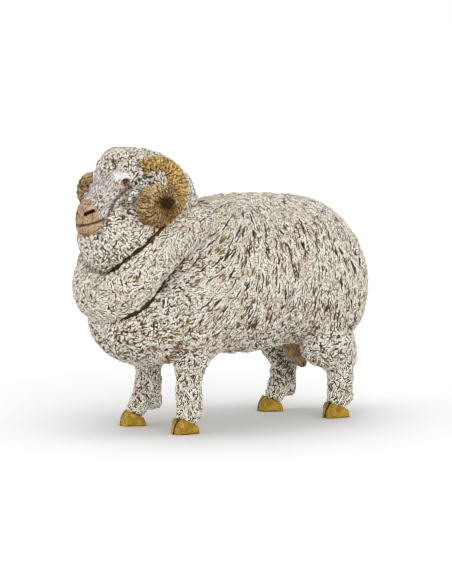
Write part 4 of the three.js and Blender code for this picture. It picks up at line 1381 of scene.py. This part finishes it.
def make_pouch():
    """The bare pouch: one lump that leans back, with wrinkles that are waves of the angle round it."""
    lean = 37
    middle = np.array([0, 21.9, 19.6])
    half_line = 4 * np.array([0, -math.sin(math.radians(lean)), math.cos(math.radians(lean))])
    spine = (middle + half_line, middle - half_line)
    points = soft_skin([lump(middle, (2.8, 2.3, 7.2), lean)], spine, 0.5, grid=(120, 130), cap_share=0.3)
    surface = Surface(points)
    angle = ring_angles(130)[None, :]
    bend = 0.7 * noise(points, 4.0, 6)
    wrinkle = np.sin(11 * angle + bend) + 0.6 * np.sin(23 * angle + 2 * bend)
    height = 0.05 * wrinkle + 0.06 * noise(points, 1.6, 7)
    # The crease paint is painted shade in the troughs of the wrinkles.
    layers = {
        "pouch grey": ramp(noise(points, 1.8, 8), -0.4, 0.5),
        "pouch tip": 0.7 * (1 - ramp(points[..., 2], 13, 16)),
        "pouch crease": 0.45 * ramp(-wrinkle, 0.2, 1.4),
    }
    lines = cut_pass(surface, surface.down, POUCH_LINES, 0.8, 82)
    values = marked(points, nicks=lines, tint=layered("pouch tan", layers))
    make_piece("pouch_skin", surface.raised(height), BARE_SKIN, "pouch", values)


make_torso()
make_collar()
make_head_wool()
make_face()
for number, (leg_name, leg) in enumerate(LEGS.items()):
    make_leg(leg_name, leg, 40 + 5 * number)
    make_claw(leg_name, leg, 1, 90 + 10 * number)
    make_claw(leg_name, leg, -1, 95 + 10 * number)
    make_web(leg_name, leg)
make_tail()
make_pouch()
for side_name, side in {"left": 1, "right": -1}.items():
    make_eye(side_name, side)
    make_lid(side_name, side, "upper")
    make_lid(side_name, side, "lower")
    make_horn(side_name, side, 140 + 10 * side)
    make_ear(side_name, side, 160 + 5 * side)


# The stage, the camera and the lights.


def looked_at(nodes):
    """1 for the rays that show a thing itself: to the camera, in a reflection or through glass."""
    path = nodes.add("ShaderNodeLightPath")
    seen = nodes.math("MAXIMUM", path.outputs["Is Camera Ray"], path.outputs["Is Glossy Ray"])
    return nodes.math("MAXIMUM", seen, path.outputs["Is Transmission Ray"])


def make_floor():
    """A pale floor that keeps the figure's shadow, and glows white to the camera where nothing is near; the
    glow fades near the figure, which paints a deeper shadow round it.
    """
    material, nodes, shader = painted("pale_floor", 0.9)
    tree = material.node_tree
    shader.inputs["Base Color"].default_value = (0.86, 0.86, 0.86, 1)
    near = {"Distance": 80 * MILLIMETRE}
    open_share = nodes.add("ShaderNodeAmbientOcclusion", near).outputs["AO"]
    glow = nodes.math("MULTIPLY", looked_at(nodes), nodes.ramp(open_share, 0.55, 0.97, 0.0, 0.32))
    glow = nodes.add("ShaderNodeEmission", {"Strength": glow})
    total = nodes.add("ShaderNodeAddShader")
    tree.links.new(shader.outputs[0], total.inputs[0])
    tree.links.new(glow.outputs[0], total.inputs[1])
    tree.links.new(total.outputs[0], tree.nodes["Material Output"].inputs["Surface"])
    bpy.ops.mesh.primitive_plane_add(size=6)
    floor = bpy.context.object
    floor.name = "floor"
    floor.data.materials.append(material)


def make_world():
    """Soft light from all round, a little weaker from above, which shows white to the camera."""
    world = bpy.data.worlds.new("studio")
    bpy.context.scene.world = world
    world.use_nodes = True
    nodes = Nodes(world.node_tree)
    background = world.node_tree.nodes["Background"]
    seen = looked_at(nodes)
    direction = nodes.add("ShaderNodeTexCoord").outputs["Generated"]
    height = nodes.add("ShaderNodeSeparateXYZ", {0: direction}).outputs["Z"]
    soft = nodes.ramp(height, 0.2, 1.0, 0.78, 0.58)
    lit = nodes.math("MULTIPLY", soft, nodes.math("SUBTRACT", 1.0, seen))
    strength = nodes.math("ADD", lit, seen)
    world.node_tree.links.new(strength, background.inputs["Strength"])
    background.inputs["Color"].default_value = (1, 1, 1, 1)


def make_sun(name, towards, softness, strength):
    """A sun that stands in this direction and looks this many degrees wide."""
    data = bpy.data.lights.new(name, "SUN")
    data.angle = math.radians(softness)
    data.energy = strength
    lamp = bpy.data.objects.new(name, data)
    lamp.rotation_euler = (-Vector(towards)).to_track_quat("-Z", "Y").to_euler()
    bpy.context.scene.collection.objects.link(lamp)


def make_camera():
    """A camera a metre away, 52 degrees round from the front and 8 degrees up. It is aimed so that the point
    between the figure's feet falls on its pixel of the photograph's frame."""
    frame_width, frame_height = 452, 584
    pixels_per_millimetre = 3.49
    foot_pixel = (233, 421.3)
    distance = 1000
    azimuth, elevation = math.radians(52), math.radians(8)
    focal_pixels = pixels_per_millimetre * distance
    back = Vector(
        (
            math.sin(azimuth) * math.cos(elevation),
            -math.cos(azimuth) * math.cos(elevation),
            math.sin(elevation),
        )
    )
    right = Vector((math.cos(azimuth), math.sin(azimuth), 0))
    up = back.cross(right)
    aside = (frame_width / 2 - foot_pixel[0]) / focal_pixels
    above = (foot_pixel[1] - frame_height / 2) / focal_pixels
    aim = right * aside + up * above - back
    data = bpy.data.cameras.new("camera")
    data.sensor_width = 36
    data.lens = focal_pixels / frame_height * data.sensor_width
    data.clip_start = 0.01
    camera = bpy.data.objects.new("camera", data)
    camera.location = Vector(FIGURE_ORIGIN * MILLIMETRE) + back * distance * MILLIMETRE
    camera.rotation_euler = aim.to_track_quat("-Z", "Y").to_euler()
    bpy.context.scene.collection.objects.link(camera)
    bpy.context.scene.camera = camera


make_floor()
make_world()
make_sun("front_sun", (-0.1, -0.9, 0.4), softness=50, strength=0.45)
make_sun("side_sun", (0.85, -0.35, 0.3), softness=50, strength=1.15)
make_camera()
bpy.context.scene.view_settings.view_transform = "Standard"
bpy.context.scene.cycles.filter_width = 1.0
